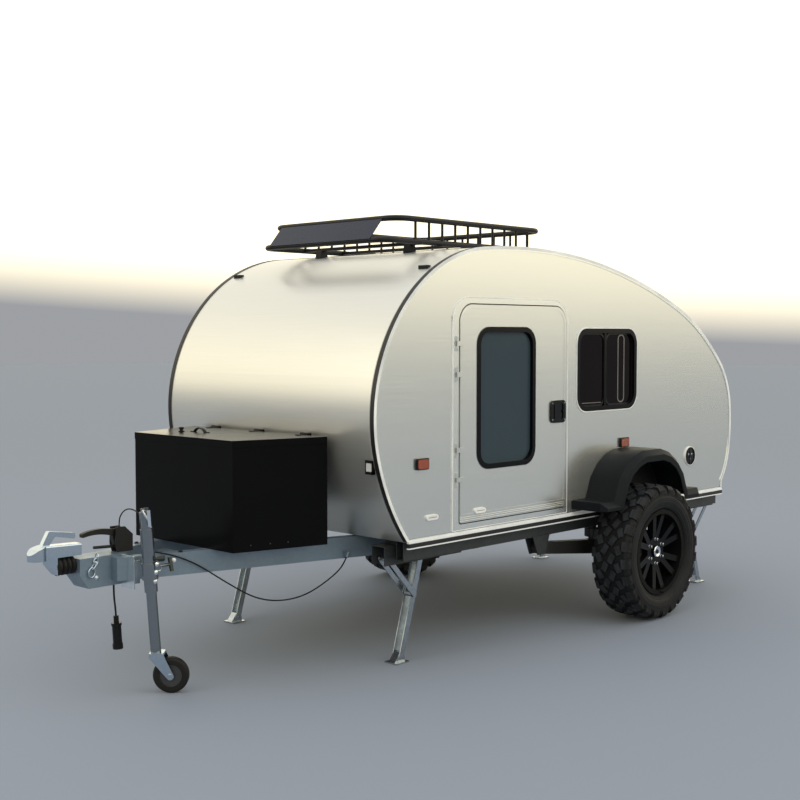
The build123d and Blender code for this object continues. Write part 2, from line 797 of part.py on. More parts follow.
with BuildPart() as drawbar:
    with BuildSketch(Plane.XY.offset(drawbar_top)):
        skew = drawbar_w / cos(radians(degrees(atan2(drawbar_slope, 1))))
        with BuildLine():
            Polyline(
                (drawbar_front, beam_outer(drawbar_front)),
                (beam_rear, beam_outer(beam_rear)),
                (beam_rear, beam_outer(beam_rear) - skew),
                (drawbar_front, beam_outer(drawbar_front) - skew),
                close=True,
            )
        make_face()
    extrude(amount=-drawbar_h)
    mirror(about=Plane.XZ)
    # The beams end flat against the overrun box
    with Locations(((head_box_rear + head_box_front) / 2, 0, drawbar_top - drawbar_h / 2)):
        Box(head_box_front - head_box_rear, 2 * head_box_half, 2 * drawbar_h, mode=Mode.SUBTRACT)
    # Front tie plate and the cross strap under the tongue box
    gusset_t = 8.0
    for x0, x1 in ((box_front - 10.0, box_front + 50.0), (box_rear - 20.0, box_rear + 30.0)):
        with BuildSketch(Plane.XY.offset(drawbar_top - 40.0)):
            with BuildLine():
                Polyline(
                    (x0, beam_outer(x0) - skew),
                    (x1, beam_outer(x1) - skew),
                    (x1, -beam_outer(x1) + skew),
                    (x0, -beam_outer(x0) + skew),
                    close=True,
                )
            make_face()
        extrude(amount=-gusset_t)
    # Pads that carry the floor
    pad_x = toe_x - 160.0
    for side in (-1, 1):
        with Locations((pad_x, side * (beam_outer(pad_x) - skew / 2), (drawbar_top + body_bottom) / 2)):
            Box(120.0, drawbar_w, body_bottom - drawbar_top)
    # Clips that hold both ends of the cable along the left beam
    for end, inner in ((0, 1), (-1, -2)):
        here = beam_cord_route[end]
        away = (Vector(*here) - Vector(*beam_cord_route[inner])).normalized()
        with BuildSketch(Plane(origin=Vector(*here), z_dir=away)):
            Circle(8.0)
        extrude(amount=26.0)
    with Locations((toe_x + 1040.0, 122.0, drawbar_top + 7.0)):
        Box(24.0, 30.0, 14.0)
    with Locations((toe_x + 50.0, beam_outer(toe_x + 50.0) + 6.0, 541.0)):
        Box(30.0, 26.0, 22.0)
save(drawbar, "drawbar")

# Box of the overrun device, over the front of the drawbar
head_box_top = drawbar_top + 10.0
head_box_wall = 5.0
with BuildPart() as head_box:
    with BuildSketch(Plane.XZ):
        with BuildLine():
            Polyline(
                (head_box_rear, head_box_top),
                (head_box_front, head_box_top),
                (head_box_front, head_box_bottom + 62.0),
                (head_box_front - 44.0, head_box_bottom),
                (head_box_rear, head_box_bottom),
                close=True,
            )
        make_face()
    extrude(amount=head_box_half, both=True)
    # Hollow and open below, apart from the plate that the plug's cable comes out of
    with BuildSketch(Plane.XZ):
        with BuildLine():
            Polyline(
                (head_box_rear + 90.0, head_box_top - head_box_wall),
                (head_box_front - head_box_wall, head_box_top - head_box_wall),
                (head_box_front - head_box_wall, head_box_bottom + 64.0),
                (head_box_front - 52.0, head_box_bottom - 2.0),
                (head_box_rear + 90.0, head_box_bottom - 2.0),
                close=True,
            )
        make_face()
    extrude(amount=head_box_half - head_box_wall, both=True, mode=Mode.SUBTRACT)
save(head_box, "overrun_box")

# Coupling: a pressed channel over the ball cup, a saddle on the sliding shaft, and the lever
ball_x = nose_x - 42.0
cup_r = 42.0
cup_skirt = 20.0
channel_half = 31.0
channel_wall = 4.0
channel_rear = toe_x + 1316.0
channel_low = coupling_z - 14.0
channel_top = coupling_z + 38.0
saddle_rear = toe_x + 1436.0
saddle_front = toe_x + 1478.0
saddle_low = 566.0
shaft_z = 603.0
grip_half = 13.0
grip_h = 27.0
grip_length = 132.0
lever_rise = 106.0
with BuildPart() as coupling_head:
    with BuildSketch(Plane.XZ):
        with BuildLine():
            Polyline(
                (channel_rear, channel_low),
                (channel_rear, channel_top),
                (ball_x - 26.0, channel_top + 6.0),
                (ball_x + 14.0, channel_top - 8.0),
                (nose_x, coupling_z + 8.0),
                (nose_x, coupling_z - cup_skirt),
                (ball_x - cup_r, coupling_z - cup_skirt),
                (ball_x - cup_r - 14.0, channel_low),
                close=True,
            )
        make_face()
    extrude(amount=cup_r, both=True)
    with BuildSketch(Plane.XY.offset(channel_low - 40.0)):
        with Locations((ball_x, 0)):
            Circle(cup_r)
        with Locations(((channel_rear + ball_x) / 2, 0)):
            Rectangle(ball_x - channel_rear, 2 * channel_half)
    extrude(amount=160.0, mode=Mode.INTERSECT)
    top_edges = coupling_head.edges().filter_by_position(Axis.Z, channel_top - 12.0, channel_top + 8.0)
    fillet(top_edges.filter_by(Axis.X, tolerance=6), radius=7.0)
    hollow_front = ball_x - cup_r - 8.0
    hollow_half = channel_half - channel_wall
    hollow_mid_z = (channel_low + channel_top) / 2 - channel_wall
    with Locations(((channel_rear + hollow_front) / 2, 0, hollow_mid_z)):
        Box(hollow_front - channel_rear, 2 * hollow_half, channel_top - channel_low, mode=Mode.SUBTRACT)
    with Locations((ball_x, 0, coupling_z)):
        Sphere(ball_r + socket_gap, mode=Mode.SUBTRACT)
    with Locations((ball_x, 0, coupling_z - cup_skirt)):
        Cylinder(
            ball_r + socket_gap,
            cup_skirt,
            align=(Align.CENTER, Align.CENTER, Align.MIN),
            mode=Mode.SUBTRACT,
        )
    # Saddle between the channel and the shaft
    with BuildSketch(Plane.XZ):
        with BuildLine():
            Polyline(
                (saddle_rear, channel_top - channel_wall - 2.0),
                (saddle_front - 24.0, channel_top - channel_wall - 2.0),
                (saddle_front, channel_low),
                (saddle_front, channel_low - 30.0),
                (saddle_rear, saddle_low),
                close=True,
            )
        make_face()
    extrude(amount=channel_half - channel_wall + 1.0, both=True)
    # Lever: up from its pivot, then back as a grip
    with BuildSketch(Plane.XZ):
        with BuildLine():
            Polyline(
                (ball_x - 16.0, channel_top),
                (ball_x - 52.0, channel_top),
                (ball_x - 84.0, coupling_z + lever_rise - grip_h),
                (ball_x - 54.0 - grip_length, coupling_z + lever_rise - grip_h - 20.0),
                (ball_x - 54.0 - grip_length, coupling_z + lever_rise - 20.0),
                (ball_x - 54.0, coupling_z + lever_rise),
                close=True,
            )
        make_face()
    extrude(amount=grip_half, both=True)
    lever_high = coupling_z + lever_rise + 1.0
    lever_edges = coupling_head.edges().filter_by_position(Axis.Z, coupling_z + 52.0, lever_high)
    fillet(lever_edges.filter_by(Axis.Y), radius=8.0)
save(coupling_head, "coupling_head")

gaiter_folds = 4
gaiter_big = 42.0
gaiter_small = 33.0
with BuildPart() as gaiter:
    fold = (saddle_rear - head_box_front) / gaiter_folds
    with BuildSketch(Plane.XZ):
        with BuildLine():
            points = [(head_box_front, shaft_z), (head_box_front, shaft_z + gaiter_small)]
            for n in range(gaiter_folds):
                points.append((head_box_front + (n + 0.3) * fold, shaft_z + gaiter_big))
                points.append((head_box_front + (n + 0.7) * fold, shaft_z + gaiter_big))
                points.append((head_box_front + (n + 1) * fold, shaft_z + gaiter_small))
            points.append((saddle_rear, shaft_z))
            Polyline(*points, close=True)
        make_face()
    revolve(axis=Axis((head_box_front, 0, shaft_z), (1, 0, 0)))
save(gaiter, "coupling_gaiter")

# Handbrake: two cheeks on the overrun box with the lever between them, and its pull rod
brake_x = toe_x + 1095.0
brake_pivot_z = head_box_top + 40.0
brake_grip_z = 735.0
cheek_out = 26.0
cheek_t = 8.0
with BuildPart() as handbrake:
    with BuildSketch(Plane.XZ.offset(-cheek_out)):
        with BuildLine():
            Polyline(
                (brake_x - 55.0, head_box_top),
                (brake_x + 28.0, head_box_top),
                (brake_x + 40.0, head_box_top + 40.0),
                (brake_x + 36.0, brake_grip_z + 14.0),
                (brake_x - 12.0, brake_grip_z + 14.0),
                (brake_x - 55.0, brake_grip_z - 26.0),
                close=True,
            )
        make_face()
    extrude(amount=cheek_t)
    mirror(about=Plane.XZ)
    with Locations((brake_x - 4.0, 0, brake_pivot_z)):
        Cylinder(10.0, 2 * cheek_out, rotation=(90, 0, 0))
    # Lever with its curved grip
    with BuildSketch(Plane.XZ):
        with BuildLine():
            Polyline(
                (brake_x + 46.0, brake_grip_z - 26.0),
                (brake_x + 34.0, brake_pivot_z - 14.0),
                (brake_x - 26.0, brake_pivot_z - 14.0),
                (brake_x - 26.0, brake_pivot_z + 12.0),
                (brake_x + 20.0, brake_grip_z + 4.0),
                (brake_x + 62.0, brake_grip_z + 8.0),
            )
            ThreePointArc(
                (brake_x + 62.0, brake_grip_z + 8.0),
                (brake_x + 120.0, brake_grip_z + 13.0),
                (brake_x + 206.0, brake_grip_z - 1.0),
            )
            Polyline(
                (brake_x + 206.0, brake_grip_z - 1.0),
                (brake_x + 206.0, brake_grip_z - 20.0),
            )
            ThreePointArc(
                (brake_x + 206.0, brake_grip_z - 20.0),
                (brake_x + 120.0, brake_grip_z - 12.0),
                (brake_x + 46.0, brake_grip_z - 26.0),
            )
        make_face()
    extrude(amount=12.0, both=True)
    grip = handbrake.edges().filter_by_position(Axis.X, brake_x + 60.0, nose_x)
    fillet(grip.filter_by(Axis.Y), radius=6.0)
    rod_low = Vector(brake_x + 10.0, 0, head_box_top + 26.0)
    rod_high = Vector(brake_x + 140.0, 0, head_box_top + 32.0)
    with BuildSketch(Plane(origin=rod_low, z_dir=rod_high - rod_low)):
        Circle(7.0)
    extrude(amount=(rod_high - rod_low).length)
save(handbrake, "handbrake")

# Tongue box with a hinged lid, narrower towards the front
box_bottom = drawbar_top
hinge_axis_x = box_rear - 9.0
lid_top = box_top + lid_skirt
lid_axis_z = lid_top + 4.0
lid_knuckle = 24.0
lid_knuckle_r = 6.0
lid_pin_r = 3.0


def box_plan(grow):
    """The tongue box in plan, drawn out or in by this much."""
    slope = (box_rear_half - box_front_half) / (box_front - box_rear)
    side_grow = grow * hypot(1, slope)
    front_half = box_front_half - slope * grow + side_grow
    rear_half = box_rear_half + slope * grow + side_grow
    with BuildSketch() as plan:
        with BuildLine():
            Polyline(
                (box_front + grow, front_half),
                (box_rear - grow, rear_half),
                (box_rear - grow, -rear_half),
                (box_front + grow, -front_half),
                close=True,
            )
        make_face()
    return plan.sketch


lid_grow = 2.0
lid_rear_gap = 1.5

with BuildPart() as tongue_box:
    with BuildSketch(Plane.XY.offset(box_bottom)):
        add(box_plan(0))
    extrude(amount=box_top - box_bottom)
    with BuildSketch(Plane.XY.offset(box_bottom + box_wall)):
        add(box_plan(-box_wall))
    extrude(amount=box_top - box_bottom, mode=Mode.SUBTRACT)
    for y in lid_hinge_table:
        with Locations((hinge_axis_x, y, lid_axis_z)):
            Cylinder(lid_pin_r, 3 * lid_knuckle, rotation=(90, 0, 0))
        for side in (-1, 1):
            with Locations((hinge_axis_x, y + side * lid_knuckle, lid_axis_z)):
                Cylinder(lid_knuckle_r, lid_knuckle - 1.0, rotation=(90, 0, 0))
            leaf_mid_z = (box_top - 50.0 + lid_axis_z) / 2
            with Locations((box_rear - 4.0, y + side * lid_knuckle, leaf_mid_z)):
                Box(4.0, lid_knuckle - 1.0, lid_axis_z - box_top + 50.0)
            with Locations((box_rear - 1.0, y + side * lid_knuckle, box_top - 30.0)):
                Box(2.0, lid_knuckle - 1.0, 40.0)
save(tongue_box, "tongue_box")

with BuildPart() as tongue_box_lid:
    with BuildSketch(Plane.XY.offset(box_top + fit_gap)):
        add(box_plan(lid_grow))
        with Locations((box_rear + lid_rear_gap - 10.0, 0)):
            Rectangle(20.0, deep_cut * 4, mode=Mode.SUBTRACT)
    extrude(amount=lid_skirt - fit_gap)
    with BuildSketch(Plane.XY.offset(box_top + fit_gap)):
        add(box_plan(lid_grow - lid_t))
        with Locations((box_rear + lid_rear_gap + lid_t - 10.0, 0)):
            Rectangle(20.0, deep_cut * 4, mode=Mode.SUBTRACT)
    extrude(amount=lid_skirt - fit_gap - lid_t, mode=Mode.SUBTRACT)
    for y in lid_hinge_table:
        with Locations(((hinge_axis_x + box_rear + 50.0) / 2, y, lid_top + 2.0)):
            Box(box_rear + 50.0 - hinge_axis_x, lid_knuckle - 1.0, 4.0)
        with Locations((hinge_axis_x, y, lid_axis_z)):
            Cylinder(lid_knuckle_r, lid_knuckle - 1.0, rotation=(90, 0, 0))
            Cylinder(lid_pin_r + pin_gap, 2 * lid_knuckle, rotation=(90, 0, 0), mode=Mode.SUBTRACT)
    # Lifting handle on the lid, a bowed strap between two feet
    with BuildSketch(Plane.YZ.offset(lid_handle_x - lid_handle_w / 2)):
        with BuildLine():
            Polyline(
                (lid_handle_y - 70.0, lid_top),
                (lid_handle_y - 70.0, lid_top + 4.0),
                (lid_handle_y - 46.0, lid_top + 4.0),
            )
            ThreePointArc(
                (lid_handle_y - 46.0, lid_top + 4.0),
                (lid_handle_y, lid_top + 24.0),
                (lid_handle_y + 46.0, lid_top + 4.0),
            )
            Polyline(
                (lid_handle_y + 46.0, lid_top + 4.0),
                (lid_handle_y + 70.0, lid_top + 4.0),
                (lid_handle_y + 70.0, lid_top),
                (lid_handle_y + 40.0, lid_top),
            )
            ThreePointArc(
                (lid_handle_y + 40.0, lid_top),
                (lid_handle_y, lid_top + 18.0),
                (lid_handle_y - 40.0, lid_top),
            )
            Line((lid_handle_y - 40.0, lid_top), (lid_handle_y - 70.0, lid_top))
        make_face()
    extrude(amount=lid_handle_w)
save(tongue_box_lid, "tongue_box_lid")

# Jockey wheel: a post that leans a little, a sliding stem, a fork that swivels, and its wheel
lean = radians(jockey_lean_deg)
post_up = Vector(sin(lean), 0, cos(lean))
post_forward = Vector(cos(lean), 0, -sin(lean))


def on_post(height):
    """A plane square to the post at this height along its axis."""
    foot = Vector(jockey_x, jockey_y, 0)
    return Plane(origin=foot + post_up * height, x_dir=post_forward, z_dir=post_up)


post_bottom = jockey_tube_bottom / cos(lean)
post_top = jockey_tube_top / cos(lean)
post_cap = 14.0
neck_r = 27.0
neck_length = 80.0
with BuildPart() as jockey_post:
    with BuildSketch(on_post(post_bottom)):
        Circle(jockey_outer_r)
    extrude(amount=post_top - neck_length - post_bottom)
    with BuildSketch(on_post(post_top - neck_length)):
        Circle(neck_r)
    extrude(amount=neck_length)
    with BuildSketch(on_post(post_bottom)):
        Circle(jockey_inner_r + pin_gap)
    extrude(amount=post_top - post_cap - post_bottom, mode=Mode.SUBTRACT)

# Clamp between the post and the drawbar, with its turning knob
clamp_low = 530.0
clamp_high = 606.0
clamp_x0 = jockey_x + clamp_low * tan(lean) - 26.0
clamp_x1 = jockey_x + clamp_high * tan(lean) + 26.0
with BuildPart() as jockey_clamp:
    with BuildSketch(Plane.XY.offset(clamp_low)):
        with BuildLine():
            Polyline(
                (clamp_x0, beam_outer(clamp_x0)),
                (clamp_x1, beam_outer(clamp_x1)),
                (clamp_x1, jockey_y),
                (clamp_x0, jockey_y),
                close=True,
            )
        make_face()
    extrude(amount=clamp_high - clamp_low)
    with BuildSketch(on_post(clamp_low)):
        Circle(jockey_outer_r + 7.0)
    extrude(amount=clamp_high - clamp_low)
    with BuildSketch(on_post(clamp_low - 60.0)):
        Circle(jockey_outer_r)
    extrude(amount=200.0, mode=Mode.SUBTRACT)
    knob_z = clamp_high - 18.0
    knob_x = clamp_x0 - 30.0
    with Locations((knob_x, jockey_y + 30.0, knob_z)):
        Cylinder(7.0, 70.0, rotation=(0, 90, 0))
    with Locations((knob_x - 35.0, jockey_y + 30.0, knob_z)):
        Cylinder(9.0, 64.0, rotation=(18, 0, 0))
    with Locations((clamp_x0 + 14.0, jockey_y + 30.0, knob_z)):
        Box(28.0, 26.0, 26.0)
    with BuildSketch(on_post(clamp_low - 60.0)):
        Circle(jockey_outer_r)
    extrude(amount=200.0, mode=Mode.SUBTRACT)

# Cable from the handbrake's cheek, in a loop to an eye on the post
breakaway_r = 3.0
breakaway_route = (
    (toe_x + 1112.0, 22.0, brake_grip_z + 14.0),
    (toe_x + 1112.0, 22.0, 780.0),
    (toe_x + 1113.0, 38.0, 806.0),
    (toe_x + 1114.0, 66.0, 829.0),
    (toe_x + 1113.0, 100.0, 841.0),
    (toe_x + 1110.0, 134.0, 840.0),
    (toe_x + 1106.0, 163.0, 830.0),
    (toe_x + 1104.0, 186.0, 818.0),
)
eye_back = Vector(*breakaway_route[-1])
eye_dir = (eye_back - Vector(*breakaway_route[-2])).normalized()

# The post takes the clamp, the cable's eye and the crank, folded down beside its cap
with jockey_post:
    add(jockey_clamp.part)
    with BuildSketch(Plane(origin=eye_back, z_dir=eye_dir)):
        Circle(6.0)
    extrude(amount=26.0)
    with BuildSketch(on_post(post_top)):
        Circle(18.0)
    extrude(amount=16.0)
    with BuildSketch(on_post(post_top + 10.0)):
        with Locations((16.0, 26.0)):
            RectangleRounded(14.0, 66.0, 5.0)
    extrude(amount=6.0)
    with BuildSketch(on_post(post_top - 60.0)):
        with Locations((16.0, 52.0)):
            Circle(8.0)
    extrude(amount=76.0)
    with BuildSketch(on_post(post_bottom)):
        Circle(jockey_inner_r + pin_gap)
    extrude(amount=post_top - post_cap - post_bottom, mode=Mode.SUBTRACT)
save(jockey_post, "jockey_post")

stem_bottom = 190.0
stem_top = 640.0
stem_wall = 3.0
stem_plate = 14.0
king_r = 8.0
with BuildPart() as jockey_stem:
    with BuildSketch(on_post(stem_bottom)):
        Circle(jockey_inner_r)
    extrude(amount=stem_top - stem_bottom)
    with BuildSketch(on_post(stem_bottom + stem_plate)):
        Circle(jockey_inner_r - stem_wall)
    extrude(amount=stem_top - stem_bottom, mode=Mode.SUBTRACT)
    with BuildSketch(on_post(stem_bottom)):
        Circle(king_r + pin_gap)
    extrude(amount=stem_plate, mode=Mode.SUBTRACT)
save(jockey_stem, "jockey_stem")

swivel = radians(jockey_swivel_deg)
left = Vector(0, 1, 0)
trail_dir = post_forward * (-cos(swivel)) + left * sin(swivel)
axle_dir = post_forward * sin(swivel) + left * cos(swivel)
jockey_crown = 10.0  # half width of the flat of the tread
jockey_shoulder = 12.0
tilt = abs(axle_dir.Z)
jockey_drop = (
    (jockey_wheel_r - jockey_shoulder) * (1 - tilt**2) ** 0.5
    + jockey_crown * tilt
    + jockey_shoulder
)
axle_height = (jockey_drop - jockey_trail * trail_dir.Z) / cos(lean)
fork_gap = 6.0
fork_t = 5.0
fork_top = stem_bottom - fit_gap
fork_inner = jockey_wheel_w / 2 + fork_gap


def across_fork(n):
    """A plane along the fork's side at this distance from its middle."""
    foot = Vector(jockey_x, jockey_y, 0)
    return Plane(origin=foot + axle_dir * n, x_dir=trail_dir, z_dir=axle_dir)


# On this plane x runs along the trail; y runs up or down the post, as this sign says
fork_up = 1.0 if across_fork(0).y_dir.Z > 0 else -1.0
with BuildPart() as jockey_fork:
    for n in (-fork_inner - fork_t, fork_inner):
        with BuildSketch(across_fork(n)):
            with Locations((jockey_trail, fork_up * axle_height)):
                Circle(17.0)
            with Locations((-14.0, fork_up * (fork_top - 14.0)), (26.0, fork_up * (fork_top - 14.0))):
                Circle(14.0)
            make_hull()
        extrude(amount=fork_t)
    with BuildSketch(across_fork(-fork_inner)):
        with Locations((6.0, fork_up * (fork_top - 5.0))):
            Rectangle(68.0, 10.0)
    extrude(amount=2 * fork_inner)
    with BuildSketch(on_post(fork_top - 2.0)):
        Circle(king_r)
    extrude(amount=stem_plate)
    with BuildSketch(across_fork(-fork_inner - fork_t - 6.0)):
        with Locations((jockey_trail, fork_up * axle_height)):
            Circle(jockey_axle_r)
    extrude(amount=2 * (fork_inner + fork_t + 6.0))
    for n in (-fork_inner - fork_t - 6.0, fork_inner + fork_t):
        with BuildSketch(across_fork(n)):
            with Locations((jockey_trail, fork_up * axle_height)):
                RegularPolygon(13.0, 6)
        extrude(amount=6.0)
save(jockey_fork, "jockey_fork")

jockey_hub_half = fork_inner - 1.0
with BuildPart() as jockey_wheel:
    with BuildSketch(across_fork(0)):
        with Locations((jockey_trail, fork_up * axle_height)):
            Circle(jockey_wheel_r)
    extrude(amount=jockey_wheel_w / 2, both=True)
    fillet(jockey_wheel.edges().filter_by(GeomType.CIRCLE), radius=jockey_shoulder)
    with BuildSketch(across_fork(jockey_wheel_w / 2 - 8.0)):
        with Locations((jockey_trail, fork_up * axle_height)):
            Circle(52.0)
    extrude(amount=8.0, mode=Mode.SUBTRACT)
    with BuildSketch(across_fork(-jockey_wheel_w / 2 + 8.0)):
        with Locations((jockey_trail, fork_up * axle_height)):
            Circle(52.0)
    extrude(amount=-8.0, mode=Mode.SUBTRACT)
    with BuildSketch(across_fork(0)):
        with Locations((jockey_trail, fork_up * axle_height)):
            Circle(18.0)
    extrude(amount=jockey_hub_half, both=True)
    with BuildSketch(across_fork(0)):
        with Locations((jockey_trail, fork_up * axle_height)):
            Circle(jockey_axle_r + pin_gap)
    extrude(amount=jockey_wheel_w, both=True, mode=Mode.SUBTRACT)
save(jockey_wheel, "jockey_wheel")

# Road wheels: tyre, rim and drum turn on a stub axle
tyre_half = tyre_width / 2
lug_h = 12.0
lug_corner = 0.8  # the corners of a flat block stand this much further out than its middle
lug_count = 24
shoulder_reach = 27.0
# Tread blocks. Columns: y from the tyre's middle, half width, half length, turn, share of a pitch
lug_table = (
    (-62.0, 17.0, 26.0, 24.0, 0.0),
    (-22.0, 17.0, 27.0, -28.0, 0.5),
    (22.0, 17.0, 27.0, -28.0, 0.0),
    (62.0, 17.0, 26.0, 24.0, 0.5),
)
tread_base_r = wheel_r - lug_h
tyre_wall = 13.0
spoke_dish = 26.0
hub_in = bead_half - 66.0  # the rim's mounting face, out from the wheel's middle


def wheel_ring(y, r_out, r_in, length, mode=Mode.ADD):
    """A ring round the left wheel's axis, from y outwards."""
    with BuildSketch(side_plane(y)) as ring:
        with Locations((axle_x, wheel_r)):
            Circle(r_out)
            if r_in > 0:
                Circle(r_in, mode=Mode.SUBTRACT)
    extrude(ring.sketch, amount=-length, mode=mode)


axle_line = Axis((axle_x, wheel_y, wheel_r), (0, 1, 0))
wheel_plane = Plane(origin=(axle_x, wheel_y, wheel_r), x_dir=(0, 1, 0), z_dir=(1, 0, 0))
with BuildPart() as left_tyre:
    # In section: y out from the wheel's middle, then the radius
    with BuildSketch(wheel_plane):
        with BuildLine():
            Polyline(
                (-bead_half, rim_seat_r),
                (-bead_half, rim_lip_r),
                (-tyre_half + 12.0, rim_lip_r + 14.0),
                (-tyre_half + 2.0, 288.0),
                (-tyre_half, 312.0),
                (-tyre_half + 4.0, 338.0),
                (-tyre_half + 12.0, tread_base_r - 14.0),
                (-tyre_half + 26.0, tread_base_r - 3.0),
                (-tyre_half + 55.0, tread_base_r),
                (tyre_half - 55.0, tread_base_r),
                (tyre_half - 26.0, tread_base_r - 3.0),
                (tyre_half - 12.0, tread_base_r - 14.0),
                (tyre_half - 4.0, 338.0),
                (tyre_half, 312.0),
                (tyre_half - 2.0, 288.0),
                (tyre_half - 12.0, rim_lip_r + 14.0),
                (bead_half, rim_lip_r),
                (bead_half, rim_seat_r),
                (bead_half - 22.0, rim_seat_r),
                (bead_half - 22.0, rim_lip_r + 10.0),
                (tyre_half - tyre_wall, 290.0),
                (tyre_half - tyre_wall - 4.0, 340.0),
                (tyre_half - 42.0, tread_base_r - 14.0),
                (-tyre_half + 42.0, tread_base_r - 14.0),
                (-tyre_half + tyre_wall + 4.0, 340.0),
                (-tyre_half + tyre_wall, 290.0),
                (-bead_half + 22.0, rim_lip_r + 10.0),
                (-bead_half + 22.0, rim_seat_r),
                close=True,
            )
        make_face()
    revolve(axis=axle_line)
    # Blocks across the crown
    for y, half, reach, turn, share in lug_table:
        crown = wheel_r - lug_corner if abs(y) < 60.0 else wheel_r - 4.0
        with BuildPart(mode=Mode.PRIVATE) as lug:
            with Locations((axle_x, wheel_y + y, 2 * wheel_r - lug_h - 6.0)):
                Box(
                    2 * reach,
                    2 * half,
                    crown - tread_base_r + 6.0,
                    rotation=(0, 0, turn),
                    align=(Align.CENTER, Align.CENTER, Align.MIN),
                )
        ring = [lug.part.rotate(axle_line, (n + share) * 360.0 / lug_count) for n in range(lug_count)]
        add(ring)
    # Shoulder blocks that wrap over the edge of the tread
    for out in (-1, 1):
        with BuildPart(mode=Mode.PRIVATE) as lug:
            with BuildSketch(Plane.YZ.offset(axle_x - shoulder_reach)):
                with BuildLine():
                    Polyline(
                        (wheel_y + out * (tyre_half - 40.0), 2 * wheel_r - lug_h - 6.0),
                        (wheel_y + out * (tyre_half - 40.0), 2 * wheel_r - 3.0),
                        (wheel_y + out * (tyre_half - 16.0), 2 * wheel_r - 7.0),
                        (wheel_y + out * (tyre_half - 1.0), 2 * wheel_r - 26.0),
                        (wheel_y + out * (tyre_half - 2.0), 2 * wheel_r - 56.0),
                        (wheel_y + out * (tyre_half - 12.0), 2 * wheel_r - 56.0),
                        (wheel_y + out * (tyre_half - 22.0), 2 * wheel_r - 32.0),
                        close=True,
                    )
                make_face()
            extrude(amount=2 * shoulder_reach)
        share = 0.25 if out > 0 else 0.75
        ring = [lug.part.rotate(axle_line, (n + share) * 360.0 / lug_count) for n in range(lug_count)]
        add(ring)

for side, name in ((1, "left"), (-1, "right")):
    with BuildPart() as tyre:
        add(left_tyre.part)
        if side < 0:
            mirror(about=Plane.XZ, mode=Mode.REPLACE)
    save(tyre, f"tyre_{name}")

    with BuildPart() as rim:
        # Barrel with its lips
        with BuildSketch(wheel_plane):
            with BuildLine():
                Polyline(
                    (-bead_half - rim_lip_t, rim_lip_r - 2.0),
                    (-bead_half - 2.0, rim_lip_r - 2.0),
                    (-bead_half - 0.3, rim_seat_r - fit_gap),
                    (bead_half + 0.3, rim_seat_r - fit_gap),
                    (bead_half + 2.0, rim_lip_r - 2.0),
                    (bead_half + rim_lip_t, rim_lip_r - 2.0),
                    (bead_half + rim_lip_t, rim_seat_r - barrel_t),
                    (-bead_half - rim_lip_t, rim_seat_r - barrel_t),
                    close=True,
                )
            make_face()
        revolve(axis=axle_line)
        # Split spokes, cut from bars by a dished disc
        with BuildSketch(wheel_plane, mode=Mode.PRIVATE) as dish:
            face = bead_half - 6.0
            with BuildLine():
                Polyline(
                    (face - spoke_dish, 30.0),
                    (face - spoke_dish * 0.9, 78.0),
                    (face, rim_seat_r - barrel_t + 2.0),
                    (face - 40.0, rim_seat_r - barrel_t + 2.0),
                    (face - spoke_dish - 34.0, 78.0),
                    (face - spoke_dish - 34.0, 30.0),
                    close=True,
                )
            make_face()
        disc = revolve(dish.sketch, axis=axle_line, mode=Mode.PRIVATE)
        with BuildSketch(mode=Mode.PRIVATE) as split_spoke:
            with BuildLine():
                Polyline(
                    (60.0, 24.0),
                    (232.0, 66.0),
                    (232.0, 32.0),
                    (104.0, 0.0),
                    (232.0, -32.0),
                    (232.0, -66.0),
                    (60.0, -24.0),
                    close=True,
                )
            make_face()
        with BuildSketch(side_plane(wheel_y), mode=Mode.PRIVATE) as bars:
            with Locations((axle_x, wheel_r)):
                Circle(82.0)
                with PolarLocations(0, spoke_pairs, start_angle=90):
                    add(split_spoke.sketch)
        spokes = extrude(bars.sketch, amount=-tyre_half, mode=Mode.PRIVATE)
        add(spokes & disc)
        # Hub with its cap, bored for the stub axle
        wheel_ring(wheel_y + hub_in, 60.0, 0, 36.0)
        wheel_ring(wheel_y + hub_in + 36.0, 33.0, 0, 10.0)
        wheel_ring(wheel_y + hub_in - 10.0, stub_r + pin_gap, 0, 26.0, Mode.SUBTRACT)
        if side < 0:
            mirror(about=Plane.XZ, mode=Mode.REPLACE)
    save(rim, f"rim_{name}")

    # Drum behind the spokes
    with BuildPart() as drum:
        drum_out = hub_in
        wheel_ring(wheel_y - 62.0, 118.0, 0, drum_out + 62.0)
        wheel_ring(wheel_y - 62.0, 104.0, 0, 44.0, Mode.SUBTRACT)
        wheel_ring(wheel_y - 62.0, 46.0, 0, 44.0)
        wheel_ring(wheel_y - 62.0, stub_r + pin_gap, 0, drum_out + 62.0, Mode.SUBTRACT)
        if side < 0:
            mirror(about=Plane.XZ, mode=Mode.REPLACE)
    save(drum, f"brake_drum_{name}")

